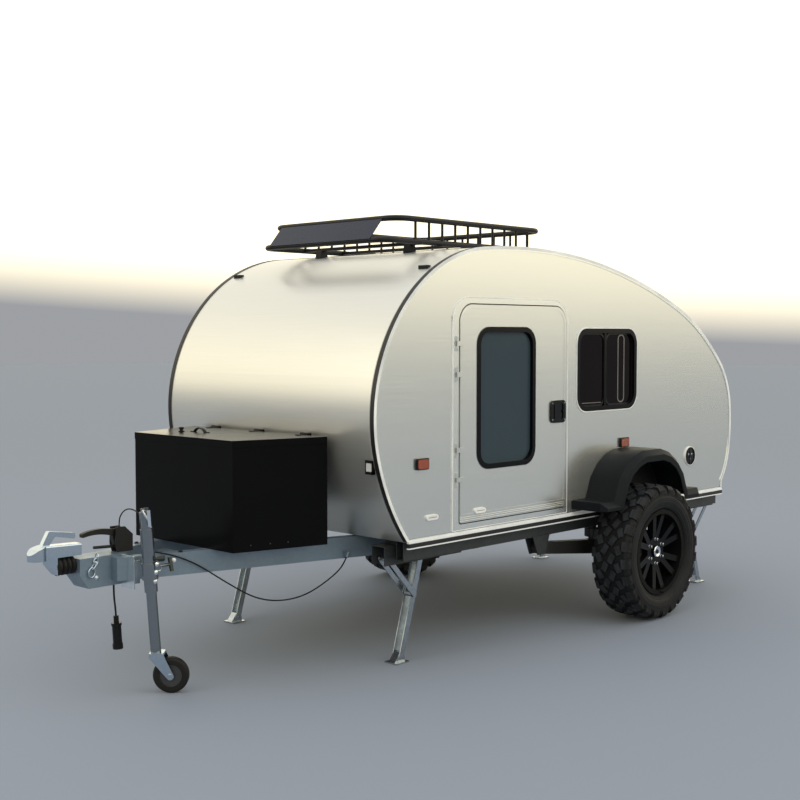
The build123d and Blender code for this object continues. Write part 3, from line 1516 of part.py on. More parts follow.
# Suspension: trailing arms with their stub axles, brackets, springs and dampers
stub_end = wheel_y + hub_in + 14.0
spring_x = toe_x - 1640.0
spring_seat_z = 452.0
with BuildPart() as trailing_arms:
    with BuildSketch(side_plane(arm_out)):
        with Locations((arm_pivot_x, arm_pivot_z)):
            Circle(arm_h / 2)
        with Locations((axle_x, wheel_r)):
            Circle(44.0)
        make_hull()
    extrude(amount=arm_w)
    with BuildSketch(side_plane(arm_out)):
        span(spring_x - 40.0, spring_x + 40.0, wheel_r + 20.0, spring_seat_z)
    extrude(amount=arm_w)
    with BuildSketch(side_plane(arm_out)):
        with Locations((axle_x, wheel_r)):
            Circle(stub_r)
    extrude(amount=arm_out - stub_end)
    with BuildSketch(side_plane(arm_out)):
        with Locations((axle_x, wheel_r)):
            Circle(60.0)
    extrude(amount=-30.0)
    # Rubber springs between the arms and the rails
    with Locations((spring_x, rail_y, (spring_seat_z + rail_bottom) / 2)):
        Cylinder(24.0, rail_bottom - spring_seat_z)
        Cylinder(46.0, (rail_bottom - spring_seat_z) * 0.6)
    mirror(about=Plane.XZ)
save(trailing_arms, "trailing_arms")

# Mudguards: bevelled arches that stand off the side walls
def guard_block(shrink, depth, bevel, foot):
    """The mudguard's outer form as a solid block, drawn in by shrink, with a bevelled outer edge."""
    half_outline = list(guard_table) + [(guard_foot, guard_knee_z), (guard_foot, foot)]
    ahead = [(axle_x + along, high) for along, high in half_outline]
    behind = [(axle_x - along, high) for along, high in reversed(half_outline)]
    with BuildSketch() as arch:
        with BuildLine():
            Polyline(*behind, *ahead, close=True)
        make_face()
        if shrink > 0:
            offset(amount=-shrink, kind=Kind.INTERSECTION)
    with BuildPart() as block:
        with BuildSketch(side_plane(half_width + depth)):
            add(arch.sketch)
        extrude(amount=depth)
        face = block.faces().sort_by(Axis.Y)[-1]
        rims = face.edges().sort_by(Axis.Z)[1:]
        if bevel > 0:
            chamfer(rims, bevel)
    return block.part


guard_bevel = 30.0
foot_low = guard_knee_z - guard_foot_t
with BuildPart() as mudguards:
    add(guard_block(0, guard_width, guard_bevel, foot_low))
    add(
        guard_block(guard_t, guard_width - guard_t, guard_bevel - guard_t * 0.6, foot_low - 40.0),
        mode=Mode.SUBTRACT,
    )
    add(guard_block(guard_band, guard_width + 10.0, 0, foot_low - 100.0), mode=Mode.SUBTRACT)
    mirror(about=Plane.XZ)
save(mudguards, "mudguards")

# Stabiliser legs. Each hangs from a pin that slides in its rail, and its stay
# swings from a fixed pin. Columns: name, x of the stay's pin, direction of the rail, side
leg_table = (
    ("front_left", front_stay_x, -1, 1),
    ("front_right", front_stay_x, -1, -1),
    ("rear_left", rear_stay_x, 1, 1),
    ("rear_right", rear_stay_x, 1, -1),
)
stay_deg = degrees(acos((leg_arm / stay_length) * cos(radians(leg_lean_deg))))
leg_reach = stay_length * sin(radians(stay_deg)) + leg_arm * sin(radians(leg_lean_deg))
leg_length = leg_pivot_z / cos(radians(leg_lean_deg))
foot_pad_t = 6.0
rail_ahead = 45.0  # of the stay's pin
rail_behind = 525.0
print("stay angle from vertical", round(stay_deg, 3), "hatch hinge height", round(hatch_hinge_z, 3))
print("lower ring of the rack", round(rack_low_z, 3))

with BuildPart() as leg_rails:
    for name, stay_x, along, side in leg_table:
        near = stay_x - along * rail_ahead
        far = stay_x + along * rail_behind
        middle = (near + far) / 2
        length = abs(far - near)
        height = leg_rail_top - leg_rail_bottom
        with Locations((middle, side * leg_y, leg_rail_top - leg_rail_t / 2)):
            Box(length, 2 * leg_rail_half, leg_rail_t)
        for edge in (-1, 1):
            with Locations(
                (
                    middle,
                    side * leg_y + edge * (leg_rail_half - leg_rail_t / 2),
                    leg_rail_bottom + height / 2,
                )
            ):
                Box(length, leg_rail_t, height)
        with Locations((stay_x, side * leg_y, leg_pivot_z)):
            Cylinder(leg_pin_r, 2 * leg_rail_half, rotation=(90, 0, 0))
        for share in (0.22, 0.8):
            with Locations(
                (near + (far - near) * share, side * leg_y, (leg_rail_top + body_bottom) / 2)
            ):
                Box(60.0, 2 * leg_rail_half, body_bottom - leg_rail_top)
save(leg_rails, "stabiliser_rails")

strip_in = leg_w / 2 + 4.0
for name, stay_x, along, side in leg_table:
    pin_x = stay_x + along * stay_length * sin(radians(stay_deg))
    pin_z = leg_pivot_z - stay_length * cos(radians(stay_deg))
    top_x = stay_x + along * leg_reach
    with BuildPart() as stay:
        for edge in (-1, 1):
            near_face = leg_y + edge * (strip_in + stay_t / 2) + stay_t / 2
            with BuildSketch(side_plane(near_face)):
                with Locations((stay_x, leg_pivot_z), (pin_x, pin_z)):
                    Circle(stay_w / 2)
                make_hull()
            extrude(amount=stay_t)
        with Locations((stay_x, leg_y, leg_pivot_z)):
            Cylinder(11.0, 2 * strip_in, rotation=(90, 0, 0))
            Cylinder(leg_pin_r + pin_gap, 4 * strip_in, rotation=(90, 0, 0), mode=Mode.SUBTRACT)
        with Locations((pin_x, leg_y, pin_z)):
            Cylinder(leg_pin_r, 2 * strip_in + 2 * stay_t, rotation=(90, 0, 0))
        if side < 0:
            mirror(about=Plane.XZ, mode=Mode.REPLACE)
    save(stay, f"stay_{name}")

    foot_x = top_x - along * leg_pivot_z * tan(radians(leg_lean_deg))
    with BuildPart() as leg:
        # A channel, open on its lower side towards the stay
        down = Vector(-along * sin(radians(leg_lean_deg)), 0, -cos(radians(leg_lean_deg)))
        square = Plane(origin=(top_x, leg_y, leg_pivot_z), x_dir=(0, 1, 0), z_dir=down)
        outward = 1.0 if square.y_dir.X * along > 0 else -1.0
        channel_top = -20.0
        channel_end = leg_length - 20.0
        with BuildSketch(square.offset(channel_top)):
            Rectangle(leg_w, leg_depth)
            with Locations((0, -outward * leg_t)):
                Rectangle(leg_w - 2 * leg_t, leg_depth, mode=Mode.SUBTRACT)
        extrude(amount=channel_end - channel_top)
        with Locations((top_x, leg_y, leg_pivot_z)):
            Cylinder(leg_pin_r, 2 * leg_rail_half - 2 * leg_rail_t - 2.0, rotation=(90, 0, 0))
        with Locations((pin_x, leg_y, pin_z)):
            Cylinder(11.0, leg_w, rotation=(90, 0, 0))
            Cylinder(leg_pin_r + pin_gap, 2 * leg_w, rotation=(90, 0, 0), mode=Mode.SUBTRACT)
        # Foot with its flat sole
        with BuildSketch(side_plane(leg_y + leg_w / 2 - leg_t)):
            with BuildLine():
                Polyline(
                    (foot_x - 38.0, foot_pad_t),
                    (foot_x + 38.0, foot_pad_t),
                    (foot_x + along * 14.0 + 16.0, 52.0),
                    (foot_x + along * 14.0 - 16.0, 52.0),
                    close=True,
                )
            make_face()
        extrude(amount=leg_w - 2 * leg_t)
        with Locations((foot_x, leg_y, foot_pad_t / 2)):
            Box(92.0, 84.0, foot_pad_t)
        if side < 0:
            mirror(about=Plane.XZ, mode=Mode.REPLACE)
    save(leg, f"leg_{name}")

# Roof rack: two rings, upright bars, cross bars and feet on the roof
rack_ring_gap = rack_high_z - rack_low_z
with BuildPart() as roof_rack:
    for front, z in ((rack_low_front, rack_low_z), (rack_high_front, rack_high_z)):
        with BuildSketch(Plane.XY.offset(z), mode=Mode.PRIVATE) as ring_plan:
            with Locations(((front + rack_rear) / 2, 0)):
                RectangleRounded(front - rack_rear, 2 * rack_half, rack_corner_r)
        ring_path = ring_plan.sketch.faces()[0].outer_wire()
        start = ring_path @ 0
        ring_start = Plane(origin=start, z_dir=ring_path % 0)
        with BuildSketch(ring_start, mode=Mode.PRIVATE) as ring_section:
            Circle(rack_tube_r)
        sweep(ring_section.sketch, path=ring_path)
    mid_x = (rack_high_front + rack_rear) / 2
    for n in range(rack_bars):
        bar_x = mid_x + (n - (rack_bars - 1) / 2) * rack_bar_pitch
        for side in (-1, 1):
            with Locations((bar_x, side * rack_half, (rack_low_z + rack_high_z) / 2)):
                Cylinder(rack_bar_r, rack_ring_gap)
    rear_bars = 7
    for n in range(rear_bars):
        bar_y = (n - (rear_bars - 1) / 2) * rack_bar_pitch * 1.2
        with Locations((rack_rear, bar_y, (rack_low_z + rack_high_z) / 2)):
            Cylinder(rack_bar_r, rack_ring_gap)
    for x in (toe_x - 500.0, toe_x - 800.0, toe_x - 1100.0, toe_x - 1400.0):
        with Locations((x, 0, rack_low_z)):
            Box(36.0, 2 * rack_half, 16.0)
    for x in (toe_x - 500.0, toe_x - 1400.0):
        for side in (-1, 1):
            with BuildSketch(side_plane(side * rack_foot_y + 22.0)):
                with BuildLine():
                    Polyline(
                        (x - 28.0, outline_at(x - 28.0) + rack_foot_gap),
                        (x + 28.0, outline_at(x + 28.0) + rack_foot_gap),
                        (x + 18.0, rack_low_z),
                        (x - 18.0, rack_low_z),
                        close=True,
                    )
                make_face()
            extrude(amount=44.0)
save(roof_rack, "roof_rack")

fairing_low_half = 393.0
fairing_t = 4.0
with BuildPart() as fairing:
    with BuildSketch(Plane.XZ):
        with BuildLine():
            Polyline(
                (rack_low_front + rack_tube_r, rack_low_z + 6.0),
                (rack_high_front + rack_tube_r, rack_high_z - 4.0),
                (rack_high_front + rack_tube_r + fairing_t, rack_high_z - 4.0),
                (rack_low_front + rack_tube_r + fairing_t, rack_low_z + 6.0),
                close=True,
            )
        make_face()
    extrude(amount=fairing_low_half, both=True)
save(fairing, "rack_fairing")

# Cords


def cord_tube(points, radius, label):
    """A round cord: straight runs joined by tangent arcs. It prints the arcs' radii."""
    corners = [Vector(*p) for p in points]
    radii = []
    for before, corner, after in zip(corners, corners[1:], corners[2:]):
        turn = radians((corner - before).get_angle(after - corner))
        run = min((corner - before).length, (after - corner).length)
        radii.append(0.45 * run / tan(turn / 2))
    with BuildPart() as tube:
        with BuildLine() as route:
            FilletPolyline(*points, radius=radii)
        with BuildSketch(Plane(origin=route.line @ 0, z_dir=route.line % 0)):
            Circle(radius)
        sweep()
    length = sum(edge.length for edge in route.edges())
    print(label, "length", round(length, 1), "radii", [round(r) for r in radii])
    print(label, "volume ratio", round(tube.part.volume / (pi * radius**2 * length), 4))
    return tube


plug_cord_r = 4.5
plug_route = (
    (toe_x + 1150.0, 30.0, head_box_bottom),
    (toe_x + 1150.0, 30.0, 452.0),
    (toe_x + 1148.0, 31.0, 412.0),
    (toe_x + 1144.0, 33.0, 375.0),
    (toe_x + 1142.0, 33.0, 342.0),
)
plug_cord = cord_tube(plug_route, plug_cord_r, "plug_cable")
save(plug_cord, "plug_cable")

with BuildPart() as plug:
    plug_end = Vector(*plug_route[-1])
    plug_dir = (Vector(*plug_route[-1]) - Vector(*plug_route[-2])).normalized()
    plug_plane = Plane(origin=plug_end, z_dir=plug_dir)
    # Columns: distance down the plug, radius, length
    plug_table = (
        (0.0, 12.0, 34.0),
        (34.0, 24.0, 12.0),
        (46.0, 21.0, 84.0),
        (130.0, 24.0, 26.0),
    )
    for reach, radius, length in plug_table:
        with BuildSketch(plug_plane.offset(reach)):
            Circle(radius)
        extrude(amount=length)
save(plug, "plug")


breakaway_cord = cord_tube(breakaway_route, breakaway_r, "breakaway_cable")
save(breakaway_cord, "breakaway_cable")

beam_cord = cord_tube(beam_cord_route, beam_cord_r, "beam_cable")
save(beam_cord, "beam_cable")
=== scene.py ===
# Looks of a teardrop trailer for two: materials, light, camera and fine detail.
# Metres, in the row's own frame: +X is the direction of travel, +Y its left, +Z up.
import math

import bmesh
import bpy
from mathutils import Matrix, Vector
from mathutils.bvhtree import BVHTree


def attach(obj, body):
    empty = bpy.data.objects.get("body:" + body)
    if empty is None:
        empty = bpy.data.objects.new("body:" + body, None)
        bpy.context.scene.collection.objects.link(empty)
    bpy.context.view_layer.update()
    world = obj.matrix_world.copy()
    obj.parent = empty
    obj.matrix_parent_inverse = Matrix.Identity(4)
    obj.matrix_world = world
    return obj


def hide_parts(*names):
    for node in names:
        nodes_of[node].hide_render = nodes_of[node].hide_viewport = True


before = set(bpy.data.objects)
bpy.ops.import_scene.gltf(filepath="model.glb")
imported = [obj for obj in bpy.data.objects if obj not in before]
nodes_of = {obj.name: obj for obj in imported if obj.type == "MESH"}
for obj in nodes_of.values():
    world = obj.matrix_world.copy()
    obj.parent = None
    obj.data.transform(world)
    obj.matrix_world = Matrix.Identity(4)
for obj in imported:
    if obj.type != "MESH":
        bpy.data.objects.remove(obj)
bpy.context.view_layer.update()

TOE = 0.76576  # x of the body's front bottom corner, as in the part's source
HALF = 0.8075  # half the body's width
LEAF_Y = 0.8155  # outer face of a door leaf
INNER = 0.7755  # half the width between the side walls' inner faces
AXLE = Vector((TOE - 1.842, 0.9675, 0.3875))  # middle of the left wheel
SIDES = (("left", 1), ("right", -1))
AFAR = 0.3  # rays at a wheel start this far out from it
BESIDE = 1.2  # rays at a door start at this distance from the middle

# Camera, fitted to the photograph
CAMERA_PLACE = (5.117, 4.9325, 1.629)
CAMERA_YAW = 0.765
CAMERA_PITCH = 0.051
CAMERA_LENS = 56.19


def smooth(mesh, angle=35.0):
    """Soft shading across all but the sharp edges."""
    for face in mesh.polygons:
        face.use_smooth = True
    limit = math.radians(angle)
    work = bmesh.new()
    work.from_mesh(mesh)
    for edge in work.edges:
        sharp = len(edge.link_faces) != 2 or edge.calc_face_angle(0.0) > limit
        edge.smooth = not sharp
    work.to_mesh(mesh)
    work.free()


def show(name, data):
    """Put a new object into the scene."""
    obj = bpy.data.objects.new(name, data)
    bpy.context.scene.collection.objects.link(obj)
    return obj


def add_object(name, data, material, body="root"):
    """Link a piece, dress it, and let it ride on its body."""
    obj = show(name, data)
    data.materials.append(material)
    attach(obj, body)
    return obj


def round_edges(obj, width, segments=2, angle=40.0):
    """Small rounds on the sharp edges, which catch the light."""
    edge = obj.modifiers.new("rounds", "BEVEL")
    edge.width = width
    edge.segments = segments
    edge.limit_method = "ANGLE"
    edge.angle_limit = math.radians(angle)
    edge.harden_normals = True


def finish_mesh(name, work, material, body="root", angle=35.0):
    """A piece from a bmesh, with soft shading."""
    bmesh.ops.recalc_face_normals(work, faces=work.faces[:])
    mesh = bpy.data.meshes.new(name)
    work.to_mesh(mesh)
    work.free()
    smooth(mesh, angle)
    return add_object(name, mesh, material, body)


# Shapes


def lathe(work, centre, axis, profile, segments=32):
    """Turn (radius, distance along the axis) points round the axis, with closed ends."""
    axis = Vector(axis).normalized()
    across = axis.orthogonal().normalized()
    other = axis.cross(across)
    rings = []
    for radius, along in profile:
        base = Vector(centre) + axis * along
        if radius < 1e-6:
            rings.append([work.verts.new(base)])
            continue
        ring = []
        for n in range(segments):
            turn = 2 * math.pi * n / segments
            ring.append(work.verts.new(base + (across * math.cos(turn) + other * math.sin(turn)) * radius))
        rings.append(ring)
    for first, second in zip(rings, rings[1:]):
        if len(first) == 1 and len(second) == 1:
            continue
        for n in range(segments):
            m = (n + 1) % segments
            if len(first) == 1:
                work.faces.new((first[0], second[n], second[m]))
            elif len(second) == 1:
                work.faces.new((first[n], first[m], second[0]))
            else:
                work.faces.new((first[n], first[m], second[m], second[n]))
    for ring in (rings[0], rings[-1]):
        if len(ring) > 1:
            work.faces.new(ring)


def turned(name, place, axis, profile, segments, material, body="root", angle=35.0):
    """One piece turned round an axis."""
    work = bmesh.new()
    lathe(work, place, axis, profile, segments)
    finish_mesh(name, work, material, body, angle)


def open_ends(work):
    """Take the flat caps off a turned ring."""
    caps = [f for f in work.faces if len(f.verts) > 8]
    bmesh.ops.delete(work, geom=caps, context="FACES_ONLY")


def bolt(work, place, normal, radius, sides=6, washer=1.35, high=0.62):
    """A bolt head on its washer. With 16 sides or more it is a domed screw head."""
    plate = radius * 0.22
    top = plate + radius * high
    if washer > 0:
        wide = radius * washer
        lathe(work, place, normal, ((wide, -0.0005), (wide, plate * 0.7), (wide * 0.94, plate)), 20)
    profile = [(radius, plate * 0.9)]
    if sides >= 16:
        profile += [(radius * 0.94, plate + radius * 0.25), (radius * 0.7, top * 0.9), (radius * 0.3, top)]
    else:
        profile += [(radius, top - radius * 0.1), (radius * 0.84, top)]
    lathe(work, place, normal, profile + [(0.0, top)], sides)


def bolts(name, places, radius, material, body="root", sides=6, washer=1.35, high=0.62):
    """Bolts at (place, normal) pairs, as one piece."""
    work = bmesh.new()
    for place, normal in places:
        bolt(work, place, normal, radius, sides, washer, high)
    finish_mesh(name, work, material, body, 40.0)


def rounded_loop(x0, x1, z0, z1, radius, y, foot=None, steps=8):
    """Points of a rectangle with round corners at one y. foot is the lower corners' radius."""
    foot = radius if foot is None else foot
    corners = (
        (x1, z1, -1, -1, radius, 0),
        (x0, z1, 1, -1, radius, 90),
        (x0, z0, 1, 1, foot, 180),
        (x1, z0, -1, 1, foot, 270),
    )
    points = []
    for x, z, to_x, to_z, r, start in corners:
        for n in range(steps + 1):
            turn = math.radians(start + 90.0 * n / steps)
            points.append((x + to_x * r + r * math.cos(turn), y, z + to_z * r + r * math.sin(turn)))
    return points


def loop_band(name, x0, x1, z0, z1, radius, y, side, width, depth, material, body="root", foot=None):
    """A flat ring round a rectangle with round corners: width inwards, depth inwards from y."""
    work = bmesh.new()
    shapes = []
    for grow, sink in ((0.0, depth), (0.0, 0.0), (width, 0.0), (width, depth)):
        low_r = None if foot is None else max(foot - grow, 0.003)
        high_r = max(radius - grow, 0.004)
        loop = rounded_loop(x0 + grow, x1 - grow, z0 + grow, z1 - grow, high_r, side * (y - sink), low_r)
        shapes.append([work.verts.new(p) for p in loop])
    count = len(shapes[0])
    for first, second in ((0, 1), (1, 2), (2, 3), (3, 0)):
        for n in range(count):
            m = (n + 1) % count
            work.faces.new((shapes[first][n], shapes[first][m], shapes[second][m], shapes[second][n]))
    finish_mesh(name, work, material, body, 40.0)


def rod(name, points, radius, material, body="root", closed=False, steps=6, round_steps=3):
    """A round bar or ring along a smooth line, whose control points are the given ones."""
    curve = bpy.data.curves.new(name, "CURVE")
    curve.dimensions = "3D"
    line = curve.splines.new("NURBS")
    line.points.add(len(points) - 1)
    for knot, place in zip(line.points, points):
        knot.co = (*place, 1.0)
    line.order_u = 3
    line.use_endpoint_u = not closed
    line.use_cyclic_u = closed
    curve.resolution_u = steps
    curve.bevel_depth = radius
    curve.bevel_resolution = round_steps
    curve.use_fill_caps = True
    return add_object(name, curve, material, body)


def slab(work, corners, thick):
    """A flat plate: corners in order, made thick along its own normal."""
    corners = [Vector(c) for c in corners]
    normal = (corners[1] - corners[0]).cross(corners[2] - corners[1]).normalized()
    low = [work.verts.new(c) for c in corners]
    high = [work.verts.new(c + normal * thick) for c in corners]
    count = len(corners)
    work.faces.new(low)
    work.faces.new(high)
    for n in range(count):
        m = (n + 1) % count
        work.faces.new((low[n], low[m], high[m], high[n]))


def box_in(work, low, high):
    """A plain block between two corners."""
    (x0, y0, z0), (x1, y1, z1) = low, high
    slab(work, ((x0, y0, z0), (x1, y0, z0), (x1, y1, z0), (x0, y1, z0)), z1 - z0)


def block(name, low, high, material, body="root", round_by=0.001):
    """A block with rounded edges."""
    work = bmesh.new()
    box_in(work, low, high)
    obj = finish_mesh(name, work, material, body)
    round_edges(obj, round_by)


def on_side(sign, near, far):
    """Two distances from the middle as y on that side, the lower first."""
    return sorted((sign * near, sign * far))


trees = {}


def touch(node, start, direction):
    """Where a line from start first meets a CAD node: the place and the surface's normal."""
    if node not in trees:
        mesh = nodes_of[node].data
        trees[node] = BVHTree.FromPolygons([v.co for v in mesh.vertices], [p.vertices for p in mesh.polygons])
    aim = Vector(direction).normalized()
    place, normal = trees[node].ray_cast(Vector(start), aim)[:2]
    if place is None:
        raise RuntimeError(f"nothing of {node} lies that way from {tuple(start)}")
    if normal.dot(aim) > 0:
        normal = -normal
    return place, normal


def joined_copy(node):
    """A CAD node's mesh as a bmesh whose faces share their corners."""
    work = bmesh.new()
    work.from_mesh(nodes_of[node].data)
    bmesh.ops.remove_doubles(work, verts=work.verts[:], dist=1e-5)
    bmesh.ops.dissolve_limit(work, angle_limit=math.radians(0.5), verts=work.verts[:], edges=work.edges[:])
    return work


def stand_in(name, node, body, material, angle, round_by=0.0, flank=None):
    """The node's own shape with soft shading and small rounds, shown in its place.

    flank, where given, dresses its upright faces.
    """
    work = joined_copy(node)
    mesh = bpy.data.meshes.new(name)
    work.to_mesh(mesh)
    work.free()
    smooth(mesh, angle)
    obj = add_object(name, mesh, material, body)
    if flank is not None:
        mesh.materials.append(flank)
        for face in mesh.polygons:
            face.material_index = 1 if abs(face.normal.z) < 0.5 else 0
    if round_by:
        round_edges(obj, round_by, 2, 38.0)
    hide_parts(node)


def tint(node, *choices):
    """Other materials on some faces of a CAD node: pairs of a material and a test of a face."""
    mesh = nodes_of[node].data
    for material, test in choices:
        mesh.materials.append(material)
        index = len(mesh.materials) - 1
        for face in mesh.polygons:
            if test(face.center, face.normal):
                face.material_index = index


# Materials


class Shader:
    """A material under construction, with short names for its parts."""

    def __init__(self, name, colour, roughness=0.5, metallic=0.0):
        self.mat = bpy.data.materials.new(name)
        self.mat.use_nodes = True
        self.tree = self.mat.node_tree
        self.main = self.tree.nodes["Principled BSDF"]
        self.main.inputs["Base Color"].default_value = (*colour, 1.0)
        self.main.inputs["Roughness"].default_value = roughness
        self.main.inputs["Metallic"].default_value = metallic
        self.place = None
        self.bumps = None

    def node(self, kind, **settings):
        made = self.tree.nodes.new(kind)
        for key, value in settings.items():
            setattr(made, key, value)
        return made

    def link(self, source, target):
        self.tree.links.new(source, target)

    def set(self, **values):
        """Uniform values on the shader's own sockets, by name with _ for a space."""
        for key, value in values.items():
            self.main.inputs[key.replace("_", " ")].default_value = value
        return self

    def coords(self, scale=(1.0, 1.0, 1.0)):
        """Coordinates fixed to the piece, stretched by scale."""
        if self.place is None:
            self.place = self.node("ShaderNodeTexCoord")
        stretch = self.node("ShaderNodeMapping")
        stretch.inputs["Scale"].default_value = scale
        self.link(self.place.outputs["Object"], stretch.inputs["Vector"])
        return stretch.outputs["Vector"]

    def noise(self, scale, detail=3.0, stretch=(1.0, 1.0, 1.0), rough=0.5):
        made = self.node("ShaderNodeTexNoise")
        made.inputs["Scale"].default_value = scale
        made.inputs["Detail"].default_value = detail
        made.inputs["Roughness"].default_value = rough
        self.link(self.coords(stretch), made.inputs["Vector"])
        return made.outputs["Fac"]

    def cells(self, scale):
        """Round patches, each of one colour."""
        made = self.node("ShaderNodeTexVoronoi")
        made.inputs["Scale"].default_value = scale
        self.link(self.coords(), made.inputs["Vector"])
        return made.outputs["Color"]

    def waves(self, axis, scale, distortion=0.0, detail=2.0, stretch=(1.0, 1.0, 1.0)):
        """Bands across one axis."""
        made = self.node("ShaderNodeTexWave", wave_type="BANDS", bands_direction=axis)
        made.inputs["Scale"].default_value = scale
        made.inputs["Distortion"].default_value = distortion
        made.inputs["Detail"].default_value = detail
        self.link(self.coords(stretch), made.inputs["Vector"])
        return made.outputs["Fac"]

    def math(self, operation, first, second=0.0, third=0.0):
        made = self.node("ShaderNodeMath", operation=operation)
        for socket, value in zip(made.inputs, (first, second, third)):
            if isinstance(value, (int, float)):
                socket.default_value = value
            else:
                self.link(value, socket)
        return made.outputs["Value"]

    def xyz(self):
        """The piece's own coordinates, one by one."""
        split = self.node("ShaderNodeSeparateXYZ")
        self.link(self.coords(), split.inputs["Vector"])
        return split.outputs["X"], split.outputs["Y"], split.outputs["Z"]

    def radius(self, centre_x, centre_z):
        """Distance from an axle along y."""
        x, _, z = self.xyz()
        dx = self.math("SUBTRACT", x, centre_x)
        dz = self.math("SUBTRACT", z, centre_z)
        total = self.math("ADD", self.math("MULTIPLY", dx, dx), self.math("MULTIPLY", dz, dz))
        return self.math("SQRT", total)

    def spread(self, value, low, high, start=0.3, end=0.7):
        """Map start..end of value to low..high."""
        made = self.node("ShaderNodeMapRange")
        made.inputs["From Min"].default_value = start
        made.inputs["From Max"].default_value = end
        made.inputs["To Min"].default_value = low
        made.inputs["To Max"].default_value = high
        self.link(value, made.inputs["Value"])
        return made.outputs["Result"]

    def mix(self, factor, first, second):
        """A colour between first and second."""
        made = self.node("ShaderNodeMix", data_type="RGBA")
        self.link(factor, made.inputs["Factor"])
        for key, value in (("A", first), ("B", second)):
            target = [s for s in made.inputs if s.name == key and s.type == "RGBA"][0]
            if isinstance(value, tuple):
                target.default_value = (*value, 1.0)
            else:
                self.link(value, target)
        return [s for s in made.outputs if s.type == "RGBA"][0]

    def paint(self, colour):
        self.link(colour, self.main.inputs["Base Color"])

    def gloss(self, value):
        self.link(value, self.main.inputs["Roughness"])

    def bump(self, height, distance, strength=0.5):
        made = self.node("ShaderNodeBump")
        made.inputs["Distance"].default_value = distance
        made.inputs["Strength"].default_value = strength
        self.link(height, made.inputs["Height"])
        if self.bumps is not None:
            self.link(self.bumps, made.inputs["Normal"])
        self.bumps = made.outputs["Normal"]
        self.link(self.bumps, self.main.inputs["Normal"])


def shade(colour, by):
    return tuple(min(1.0, max(0.0, c * by)) for c in colour)


def painted(name, colour, roughness, metallic=0.0, coat=0.0, grain=0.02, peel=0.0, shine=0.5):
    """Paint or powder coat: a little uneven in colour and gloss."""
    made = Shader(name, colour, roughness, metallic)
    cloud = made.noise(2.2, 4.0)
    made.paint(made.mix(made.spread(cloud, 0.0, 1.0), shade(colour, 0.93), shade(colour, 1.06)))
    made.gloss(made.spread(made.noise(9.0, 3.0), roughness * 0.88, roughness * 1.12))
    made.bump(made.noise(420.0, 2.0), 0.0004, grain)
    if peel:
        made.bump(made.noise(90.0, 1.0), 0.0008, peel)
    made.set(Coat_Weight=coat, Coat_Roughness=0.12, Specular_IOR_Level=shine)
    return made.mat


def brushed(name, colour, along, roughness=0.36, metallic=0.75):
    """Satin metal skin with a fine grain along one axis."""
    made = Shader(name, colour, roughness, metallic)
    fine = tuple(3.0 if axis == along else 420.0 for axis in "xyz")
    broad = tuple(0.6 if axis == along else 26.0 for axis in "xyz")
    streak = made.noise(1.0, 4.0, fine)
    bands = made.noise(1.0, 3.0, broad)
    streaked = made.mix(made.spread(streak, 0.0, 1.0), shade(colour, 0.97), shade(colour, 1.03))
    made.paint(made.mix(made.spread(bands, 0.0, 0.22), streaked, shade(colour, 1.05)))
    made.gloss(made.spread(streak, roughness * 0.94, roughness * 1.07))
    made.bump(streak, 0.0001, 0.012)
    return made.mat


def zinc(name, colour, roughness=0.4, metallic=0.85, spangle=90.0, depth=0.06, dull=0.84):
    """Zinc-coated or chromed steel: faint crystals, dull clouds and a slightly worn gloss."""
    made = Shader(name, colour, roughness, metallic)
    grey = made.node("ShaderNodeRGBToBW")
    made.link(made.cells(spangle), grey.inputs["Color"])
    cloud = made.noise(11.0, 5.0)
    crystals = made.spread(grey.outputs["Val"], 0.0, 1.0, 0.2, 0.8)
    tone = made.mix(crystals, shade(colour, 1 - depth), shade(colour, 1 + depth))
    made.paint(made.mix(made.spread(cloud, 0.0, 0.5), tone, shade(colour, dull)))
    made.gloss(made.spread(cloud, roughness * 0.8, roughness * 1.25))
    made.bump(made.noise(160.0, 3.0), 0.0004, 0.08)
    return made.mat


def moulded(name, colour, roughness=0.5, grain=260.0, depth=0.25, shine=0.5):
    """Moulded plastic or rubber with a fine pebbled skin."""
    made = Shader(name, colour, roughness)
    made.paint(made.mix(made.spread(made.noise(5.0, 4.0), 0.0, 1.0), shade(colour, 0.8), shade(colour, 1.25)))
    made.gloss(made.spread(made.noise(11.0, 3.0), roughness * 0.85, roughness * 1.15))
    made.bump(made.noise(grain, 2.0), 0.0005, depth)
    made.set(Specular_IOR_Level=shine)
    return made.mat


def tyre_rubber():
    """Dark rubber: dusty block tops, black grooves and fine rings on the side walls."""
    colour = (0.0085, 0.0095, 0.0115)
    made = Shader("tyre_rubber", colour, 0.62)
    reach = made.radius(AXLE.x, AXLE.z)
    tops = made.spread(reach, 0.0, 1.0, 0.3775, 0.3835)
    dust = made.math("MULTIPLY", tops, made.spread(made.noise(24.0, 4.0), 0.35, 1.0))
    made.paint(made.mix(dust, colour, (0.036, 0.041, 0.050)))
    rings = made.math("SINE", made.math("MULTIPLY", reach, 520.0))
    inward = made.spread(reach, 0.0, 1.0, 0.262, 0.268)
    flank = made.math("MULTIPLY", inward, made.spread(reach, 1.0, 0.0, 0.325, 0.331))
    made.bump(made.math("MULTIPLY", rings, flank), 0.0012, 0.35)
    made.bump(made.noise(240.0, 2.0), 0.0005, 0.3)
    made.gloss(made.spread(made.noise(12.0, 3.0), 0.52, 0.70))
    made.set(Specular_IOR_Level=0.22)
    return made.mat


